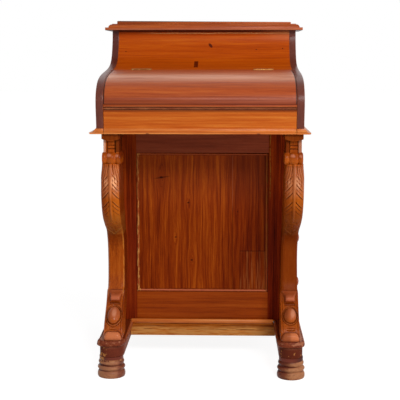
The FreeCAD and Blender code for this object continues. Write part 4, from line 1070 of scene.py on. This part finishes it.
# The neck's sunk middle, darkened below as painted shade.
sunk = deep.rise(BELLY_Y + NECK_FRONT + 0.001, BELLY_Y + NECK_FRONT + 0.004) * neck
shade_under_knee = up.band(0.3, 0.345, 0.36, 0.385)
shaft = up.band(0.185, 0.21, 0.33, 0.38)
rubbed_chamfer = abs(offset - 0.0205 + (at.cloud(0.02, 2, 4) - 0.5) * 0.002).rise(0.002, 0.0006)
rubbed_chamfer *= shaft * at.cloud(0.01, 3, 8, Z=4).rise(0.35, 0.5) * (1 - right_leg)
chamfer_highlight = abs(offset + 0.0178).rise(0.0016, 0.0005) * shaft * (1 - right_leg)
olive = up.band(0.35, 0.358, 0.4, 0.425) * at.cloud(0.004, 4, 2).rise(0.35, 0.65)
# Painted light and shade on the cabochon: pinker above, orange below, darker to the left, with a
# painted highlight near the top.
boss_shading = up.rise(0.138, 0.158).blend((168, 78, 8), (170, 88, 50))
boss_shading = (offset.rise(-0.004, -0.012) * 0.5).blend(boss_shading, (106, 42, 10))
boss_shading = (oval(0.003, 0.161, 0.0075, 0.011) * 0.6).blend(boss_shading, (220, 150, 116))
# Painted light and shade on the upper scroll's roll: a lit band, dark where it curls under, a browner
# top and a darker left.
roll_shading = up.rise(0.183, 0.189).blend((116, 40, 2), (184, 98, 64))
roll_shading = up.rise(0.193, 0.202).blend(roll_shading, (146, 68, 34))
roll_shading = (offset.rise(-0.004, -0.014) * 0.6).blend(roll_shading, (124, 52, 24))
boss_shading = up.rise(0.174, 0.177).blend(boss_shading, roll_shading)
painted_glints = oval(-0.003, 0.565, 0.0075, 0.0052) + oval(0.0165, 0.564, 0.005, 0.0048)
# Painted light and shade on the lower scroll: light at the top, dark below, and darker on the right
# leg's inner side.
cushion_shading = up.rise(0.094, 0.108).blend((128, 50, 8), (208, 120, 76))
cushion_shading = (right_leg * offset.rise(0.001, -0.009) * 0.6).blend(cushion_shading, (96, 34, 6))
wax = leaf_top * 0.24 + collar * 0.12 + on_foot * 0.08 + 0.02
wax += up.rise(0.26, 0.23) * (1 - right_leg) * 0.1
finish(
    leg_wood, at, colour, grain,
    (leaf_low * offset.rise(-0.016, 0.006) * 0.5, (198, 104, 24)),
    # Painted light across the upper leaf, all but its left edge.
    (leaf_top * offset.rise(-0.02, -0.006) * 0.3, (210, 124, 72)),
    # Dark in the carved cuts: old polish gathered there, and painted shade.
    (carved.rise(-0.1, -1) * (0.85 - on_foot * 0.35 - leaf_top * 0.2), (66, 16, 4)),
    # Painted highlight on the raised carving, strongest on the upper leaf.
    (carved.rise(0.12, 0.8) * (1 - boss) * (leaf_top * 0.25 + 0.15), (232, 156, 104)),
    # The painted highlights on the leaf.
    (painted_highlight, (250, 178, 126)),
    # Painted highlight along the raised border at the leaf's tip.
    (carved.rise(0.1, 0.6) * up.band(0.34, 0.35, 0.375, 0.385) * 0.6, (190, 128, 60)),
    # Painted shade on the left leg's inner side, which faces the pedestal.
    (shaded_inner_face * up.rise(0.1, 0.22) * 0.8, (92, 22, 2)),
    # Painted shade on the cap, under the body's moulding.
    (up.rise(0.601, 0.604) * 0.65, (84, 32, 4)),
    # Painted light on the outer strip of each neck, painted shade on the inner strip.
    (neck * outer.rise(0.0112, 0.012) * (0.75 - right_leg * 0.35), (222, 166, 134)),
    (neck * outer.rise(-0.0092, -0.01) * 0.75, (84, 28, 4)),
    # Painted shade in the neck's sunk middle.
    (sunk * abs(offset).rise(0.013, 0.011) * 0.35, (90, 30, 6)),
    # Painted shade on the top of the shaft, under the knee.
    (shade_under_knee * 0.5, (96, 26, 0)),
    (shaft * right_leg * 0.65, (104, 34, 0)),
    (rubbed_chamfer * 0.6, (204, 126, 48)),
    # Painted highlight along the outer chamfer of the left shaft.
    (chamfer_highlight * 0.45, (214, 146, 104)),
    (right_leg * up.band(0.33, 0.36, 0.415, 0.445) * 0.5, (96, 28, 2)),
    (olive * (0.35 - right_leg * 0.2), (170, 112, 44)),
    (right_leg * 0.25, (110, 44, 4)),
    (collar * up.rise(0.562, 0.55) * 0.45, (192, 92, 14)),
    # Painted light and shade on the cabochon and the upper scroll.
    (boss * up.rise(0.125, 0.13) * 0.8, boss_shading),
    # Painted sheen on the outer side of the leg at the foot.
    (on_foot * outer.rise(0.018, 0.0215) * 0.45, (190, 128, 106)),
    # Painted glints on the collar, weaker on the right leg.
    (painted_glints * (0.5 - right_leg * 0.15), (222, 146, 116)),
    # Painted light and shade on the lower scroll.
    (boss * up.rise(0.125, 0.12) * 0.75, cushion_shading),
    rough=0.4, gloss=0.02, polish=wax,
)

for side in ("left", "right"):
    node = "front_leg_" + side
    low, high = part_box(node)
    middle = (low.x + high.x) / 2
    bracket = carved_bracket(middle, CABOCHONS[side])
    sign = np.sign(middle)
    for vertex in bracket.data.vertices:
        height = vertex.co.z
        inward = max((middle - vertex.co.x) * sign, 0) / LEG_HALF
        vertex.co.x += LEAN[side] * (height - LEAN_PIVOT)
        vertex.co.x -= sign * INNER_EXTRA * inward * ramp(FULL_BELOW - height, 0, EDGE_FADE)
        outward = max((vertex.co.x - middle) * sign, 0) / LEG_HALF
        vertex.co.x -= sign * OUTER_TRIM[side] * outward * bell(height - TRIM_HEIGHT, EDGE_FADE)
    leg = joined("carved_leg_" + side, [bracket] + leg_head(middle + HEAD_SHIFT[side]))
    settle(leg, "carcass", "carved_mahogany", leg_wood, node)


# ---- Body ----
# Two side boards sawn to one serpentine line, with boards let in between them: bottom,
# back, well floor, shelf, dividers and the hollow cove panel. A cavetto moulding runs
# round the foot of the body.
side_wood, at, colour, grain = wood(
    "side board mahogany", "Y", (104, 38, 16), (150, 68, 30), (178, 94, 46), ribbon=0.03, seed=60)
across, deep, up = at.parts()
BOARD_LOW, BOARD_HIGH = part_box("side_board_right")
edges = within(abs(across), BOARD_LOW.x, BOARD_HIGH.x).rise(0.0001, 0.0007)
edge_tint = at.cloud(0.006, 4, 3, Z=5).blend((76, 28, 18), (114, 56, 40))
edge_tint = (up.rise(0.775, 0.8) * across.rise(0, -0.1) * 0.5).blend(edge_tint, (66, 12, 2))
finish(side_wood, at, colour, grain, (edges, edge_tint), rough=0.32, gloss=0.22)
kept(side_wood, "side_board_left", "side_board_right", ease=0.0012)

kept(back_wood, "body_back", ease=0.0006)
kept(pine_across, "body_bottom", "hinge_rail", ease=0.0006)
kept(pine_deep, "letter_dividers", "case_dividers", ease=0.0006)

well_wood, at, colour, grain = wood(
    "well lining", "X", (110, 58, 28), (152, 92, 48), (178, 118, 68), ribbon=0.03, seed=64)
deep = at.parts()[1]
edge_tint = at.cloud(0.02, 3, 1, X=4).rise(0.35, 0.65).blend((116, 52, 28), (156, 92, 54))
finish(well_wood, at, colour, grain, (deep.rise(-0.272, -0.276), edge_tint), rough=0.5)
kept(well_wood, "well_floor", "compartment_shelf", ease=0.0006)

cove_wood, at, colour, grain = wood(
    "cove mahogany", "X", (143, 47, 2), (181, 74, 5), (202, 99, 16),
    ribbon=0.03, seed=70, contrast=0.62)
across, deep, up = at.parts()
rubbed_top = (up - 0.8711) + (at.cloud(0.03, 3, 1, X=2) - 0.5) * 0.0035
thin = at.cloud(0.04, 2, 9, X=2).rise(0.25, 0.45) * across.rise(-0.2, -0.1) * 0.75
knot_up = up - 0.8369 + (across - 0.0188) * 0.6
knot = (across - 0.0188) * (across - 0.0188) / 0.0056 ** 2 + knot_up * knot_up / 0.005 ** 2
finish(
    cove_wood, at, colour, grain,
    # Painted shadow along the head of the cove, under the top.
    (up.rise(0.8738, 0.8752) * 0.8, (52, 12, 2)),
    (abs(rubbed_top).rise(0.0017, 0.0005) * thin, (236, 176, 108)),
    (up.rise(0.845, 0.87) * across.rise(0.12, 0.24) * 0.4, (206, 124, 78)),
    (knot.rise(1.5, 0.5) * 0.9, (72, 20, 6)),
    rough=0.34, gloss=0.06,
)
kept(cove_wood, "cove_panel")

apron_wood, at, colour, grain = wood(
    "apron mahogany", "X", (168, 71, 12), (190, 93, 25), (207, 119, 43),
    ribbon=0.01, seed=76, contrast=0.8)
apron_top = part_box("slide_front")[1].z
# Painted shadow along the top of the apron, under the lid's bead.
lid_shadow = at.parts()[2].rise(apron_top - 0.0075, apron_top - 0.002)
finish(apron_wood, at, colour, grain, (lid_shadow * 0.8, (106, 38, 12)), rough=0.34, gloss=0.09)
kept(apron_wood, "slide_front")

MOULDING_SWELL = 0.0032
STRAIGHT_PART = 0.0005
for name, body in (("side_moulding_left", "carcass"), ("side_moulding_right", "carcass"),
                   ("slide_moulding", "writing_slide")):
    moulding = refined(name, 0.0005)
    low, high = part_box(name)
    for vertex in moulding.data.vertices:
        swell = MOULDING_SWELL * np.sin(np.pi * (vertex.co.z - low.z) / (high.z - low.z))
        if abs(vertex.co.x) > BOARD_HIGH.x + STRAIGHT_PART:
            vertex.co.x += np.sign(vertex.co.x) * swell
        if vertex.co.y < BOARD_LOW.y - STRAIGHT_PART:
            vertex.co.y = max(vertex.co.y - swell, cad_low.y)
    settle(moulding, body, "slide_mahogany", orange_wood, name)


def on_cove(x, z):
    """The point of the cove panel's face at a place in the front view."""
    return nodes["cove_panel"].ray_cast((x, cad_low.y * 2, z), (0, 1, 0))[1]


KEYHOLE = (-0.0195, 0.7855)
KEYHOLE_HALF = (0.0054, 0.008)
NAILS = ((-0.2159, 0.8198), (0.1457, 0.8254), (0.2185, 0.8281))

plug_wood = finish(
    *wood("keyhole plug wood", "Z", (60, 12, 2), (96, 26, 2), (124, 42, 6), ribbon=0.002, seed=80),
    rough=0.5, gloss=0.02)
plug_face = on_cove(*KEYHOLE)
plug_low, plug_high = np.subtract(KEYHOLE, KEYHOLE_HALF), np.add(KEYHOLE, KEYHOLE_HALF)
plug = block("keyhole_plug", (plug_low[0], plug_face.y - 0.0004, plug_low[1]),
             (plug_high[0], plug_face.y + 0.004, plug_high[1]), 7)
for vertex in plug.data.vertices:
    shell = on_cove(vertex.co.x, vertex.co.z)
    vertex.co.y += shell.y - plug_face.y
settle(eased(plug, 0.0003, 2), "carcass", "cove_mahogany", plug_wood)

nail_iron, at = new_material("nail iron")
rust = at.cloud(0.0008, 3).blend((40, 12, 6), (84, 30, 10))
finish(nail_iron, at, rust, at.cloud(0.0004, 2), rough=0.6, gloss=0.02)
heads = []
for x, z in NAILS:
    spot = on_cove(x, z)
    head = [(0.0019, 0.004), (0.0019, 0.0002), (0.0015, -0.0002), (0.0005, -0.00035)]
    heads.append(turned("nail", spot, "Y", head, 16))
settle(joined("cove_nails", heads), "carcass", "hinge_brass", nail_iron)


# ---- Small drawer in the well ----
# A shallow drawer between two pigeonholes at the back of the well: a mahogany front with
# one turned knob, on a thin softwood box.
kept(drawer_wood, "inner_drawer_front", ease=0.0006)
kept(pine_deep, "inner_drawer_box", ease=0.0004)
low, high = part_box("inner_drawer_knob")
INNER_SHARE = (high.x - low.x) / (2 * KNOB_RADIUS)
small_profile = [(radius * INNER_SHARE, -along * (high.y - low.y) / KNOB_LENGTH)
                 for radius, along in knob_profile]
centre = (low + high) / 2
small_knob = turned("inner_drawer_turned_knob", (centre.x, high.y, centre.z), "Y", small_profile, 32)
settle(small_knob, "inner_drawer", "carved_mahogany", knob_wood, "inner_drawer_knob")


# ---- Writing slide ----
# A board with a leather skiver let into it pulls out under the lid. Its front is the pale
# apron, and it carries the middle stretch of the base moulding.
slide_wood = finish(
    *wood("slide board mahogany", "X", (120, 54, 24), (160, 84, 40), (186, 110, 60), seed=94),
    rough=0.34, gloss=0.2)
kept(slide_wood, "slide_board", ease=0.0008)

LEATHER_LOW, LEATHER_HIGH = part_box("slide_leather")
leather, at = new_material("writing leather")
cells = at.node("TexVoronoi", {"feature": "DISTANCE_TO_EDGE"}, {"Vector": at, "Scale": 900})
pebble = cells.rise(0, 0.25)
across, deep, up = at.parts()
off_edge = within(across, LEATHER_LOW.x, LEATHER_HIGH.x)
off_edge = off_edge.least(within(deep, LEATHER_LOW.y, LEATHER_HIGH.y))
gilt = abs(off_edge - 0.012).rise(0.0009, 0.0006).most(abs(off_edge - 0.0155).rise(0.0005, 0.0003))
green = at.cloud(0.05, 4, 3).blend((22, 54, 36), (44, 82, 54))
green = (pebble.rise(0.5, 0) * 0.5).blend(green, (14, 34, 24))
colour = gilt.blend(green, (200, 158, 82))
finish(leather, at, colour, pebble - gilt * 0.5, rough=0.45 - gilt * 0.15, metallic=gilt * 0.8,
       bump=0.0002, gloss=0.3)
kept(leather, "slide_leather")


# ---- Lid ----
# The lid is coopered to the serpentine curve and french polished, and a bead is planed along
# its front edge. It hangs from the rail behind the cove by two butts.
lid_wood, at, colour, grain = wood(
    "lid mahogany", "X", (124, 44, 13), (162, 68, 23), (183, 91, 37),
    ribbon=0.022, seed=84, contrast=0.9)
across, deep, up = at.parts()
front_half = deep.rise(-0.2, -0.25)
streaks = at.cloud(0.02, 3, 7, X=8).rise(0.15, 0.6)
outer_curve = deep * 0.078 - (deep * deep) ** 3 * 59 + 0.7745
outer_face = (up - outer_curve).rise(-0.009, -0.006)
# A painted reflection: a pale streaky band across the shoulder of the lid's outer face, brightest along
# its middle except at the right end.
painted_reflection = up.band(0.74, 0.755, 0.757, 0.77) * outer_face
reflection_peak = up.band(0.75, 0.7555, 0.758, 0.7625) * outer_face
smear = at.cloud(0.05, 4, 3, X=2.5)
finish(
    lid_wood, at, colour, grain,
    # Painted shade on the lower part of the lid, darkest near its bead.
    (up.rise(0.713, 0.697) * front_half * 0.4, (92, 28, 12)),
    # Painted shade in the groove above the bead.
    (up.rise(0.6945, 0.692) * front_half * 0.6, (70, 20, 12)),
    # The painted reflection on the lid's shoulder.
    (painted_reflection * streaks * 0.85, (214, 142, 106)),
    (reflection_peak * streaks * across.rise(0.2, 0.1) * 0.5, (238, 176, 150)),
    # Painted reflection of the cove: the lid's back edge toned darker.
    (up.rise(0.766, 0.77) * 0.4, (160, 74, 36)),
    (up.band(0.727, 0.733, 0.74, 0.744) * 0.15, (196, 110, 64)),
    # More painted shade towards the bottom.
    (up.rise(0.73, 0.704) * front_half * 0.3, (136, 62, 30)),
    # Painted shade in the gaps at the lid's ends.
    (abs(across).rise(0.2326, 0.2348) * 0.9, (48, 14, 10)),
    rough=0.38 + smear * 0.1, gloss=0.2,
)
settle(refined("lid_panel", 0.0008), "lid", "lid_mahogany", lid_wood, "lid_panel")

lip_wood, at, colour, grain = wood(
    "lid bead mahogany", "X", (121, 39, 9), (148, 60, 20), (163, 81, 36), ribbon=0.012, seed=88)
up = at.parts()[2]
finish(
    lip_wood, at, colour, grain,
    # Painted shade in the groove at the top of the bead.
    (up.rise(0.6892, 0.6898) * 0.6, (90, 28, 12)),
    # Painted light on the bead's lower curve, which faces down.
    (up.rise(0.6866, 0.6848) * 0.6, (186, 104, 62)),
    rough=0.36, gloss=0.12,
)
settle(refined("lid_lip", 0.0004), "lid", "lid_mahogany", lip_wood, "lid_lip")


# ---- Top ----
# Four moulded members mitred round the mouth of the stationery compartment, and glued down
# on the side boards, the back and the cove panel.
top_wood, at, colour, grain = wood(
    "top mahogany", "X", (125, 48, 13), (165, 73, 26), (189, 98, 43), ribbon=0.022, seed=90)
up = at.parts()[2]
finish(
    top_wood, at, colour, grain,
    # Painted shadow along the top's lower edge, with a painted highlight just above it.
    (up.rise(0.8804, 0.8796) * 0.8, (50, 14, 4)),
    (up.band(0.8798, 0.8806, 0.882, 0.886) * 0.25, (206, 140, 110)),
    (up.rise(0.9005, 0.9025) * 0.8, (96, 62, 42)),
    rough=0.34, gloss=0.14,
)
settle(refined("top_frame", 0.0006), "carcass", "top_mahogany", top_wood, "top_frame")


# ---- Flap ----
# A thin board over the stationery compartment, hinged at the back. It has warped: its right
# end lies lower.
FLAP_WARP = 0.0032
flap = refined("flap_panel", 0.0005)
flap_low, flap_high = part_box("flap_panel")
for vertex in flap.data.vertices:
    lift = (vertex.co.z - flap_low.z) / (flap_high.z - flap_low.z)
    toward_right = (vertex.co.x - flap_low.x) / (flap_high.x - flap_low.x)
    vertex.co.z -= FLAP_WARP * lift * toward_right ** 1.5
settle(flap, "flap", "top_mahogany", top_wood, "flap_panel")


# ---- Hinges ----
# Brass butts, two for the lid and two for the flap: a leaf let into each piece, turning on a
# steel pin. In blots on the left and along the lid plates' top edge the brass is dull brown.
HINGE_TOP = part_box("lid_hinge_plates")[1].z

brass, at = new_material("hinge brass")
tarnish = at.cloud(0.01, 5, 2).rise(0.42, 0.72)
across, deep, up = at.parts()
# Blots on the left, and the top edge of the lid's plates, turned dull brown.
dulled = across.rise(0, -0.05) * at.cloud(0.006, 3, 4).rise(0.62, 0.52)
dulled = dulled.most(up.rise(HINGE_TOP - 0.003, HINGE_TOP - 0.002) * up.rise(0.8, 0.79))
tint = tarnish.blend((222, 186, 112), (150, 108, 56))
tint = (dulled * 0.85).blend(tint, (124, 58, 20))
finish(brass, at, tint, at.cloud(0.0006, 2), rough=tarnish * 0.25 + 0.28, metallic=1)
kept(brass, "lid_hinge_leaves", "lid_hinge_plates", "flap_hinge_leaves", "flap_hinge_plates")


# ---- Floor, light and camera ----
# A pale floor that keeps the desk's shadow, one large soft lamp high on the right and a
# weaker one lower and further right. The camera stands low, a little right of the middle.
def background_rays(place):
    """1 for rays that should see the plain white background."""
    camera_ray, glossy, through = [place.node("LightPath", {}, {}, "Is %s Ray" % kind)
                                   for kind in ("Camera", "Glossy", "Transmission")]
    return camera_ray.most(glossy).most(through)


floor_paint, at = new_material("floor")
shown = background_rays(at)
speckle = at.cloud(0.4, 3).blend((228, 228, 228), (236, 236, 236))
matt = at.node("BsdfDiffuse", {}, {"Color": speckle})
shaded = at.node("BsdfDiffuse", {}, {"Color": srgb(150, 150, 150)})
white = at.node("Emission", {}, {"Color": (1, 1, 1, 1), "Strength": 0.9})
seen = at.node("AddShader", {}, {0: shaded, 1: white})
surface = at.node("MixShader", {}, {0: shown, 1: matt, 2: seen})
at.node("OutputMaterial", {}, {"Surface": surface}, None)
deselect()
bpy.ops.mesh.primitive_plane_add(size=30, location=(0, 6, 0))
floor = bpy.context.object
floor.name = "floor"
floor.data.materials.append(floor_paint)

WORLD_LEVEL = 0.34
world = bpy.data.worlds.new("studio")
bpy.context.scene.world = world
start = emptied(world)
sky = background_rays(start) * (1 - WORLD_LEVEL) + WORLD_LEVEL
air = start.node("Background", {}, {"Color": (1, 1, 1, 1), "Strength": sky})
start.node("OutputWorld", {}, {"Surface": air}, None)


def lamp(name, place, aim, size, power):
    """A square soft lamp."""
    light = bpy.data.lights.new(name, "AREA")
    light.size = size
    light.energy = power
    holder = added(name, light)
    holder.location = place
    holder.rotation_euler = (aim - holder.location).to_track_quat("-Z", "Y").to_euler()


aim = (cad_low + cad_high) / 2
lamp("key lamp", (1, -3, 2.3), aim, 1, 74)
lamp("side lamp", (2.9, -1.6, 1.1), aim, 1, 24)

CAMERA_PLACE = (0.0736, -2.8415, 0.807)
CAMERA_TURN = np.radians(1.64)
CAMERA_DIP = np.radians(6.5)
SENSOR = 36
FOCAL_PIXELS = 1050
PICTURE = 400
LIFT_PIXELS = 24
lens = bpy.data.cameras.new("camera")
lens.sensor_width = SENSOR
lens.lens = FOCAL_PIXELS / PICTURE * SENSOR
lens.shift_y = -LIFT_PIXELS / PICTURE
camera = added("camera", lens)
camera.location = CAMERA_PLACE
camera.rotation_euler = (np.pi / 2 - CAMERA_DIP, 0, CAMERA_TURN)
bpy.context.scene.camera = camera
bpy.context.scene.view_settings.view_transform = "Standard"
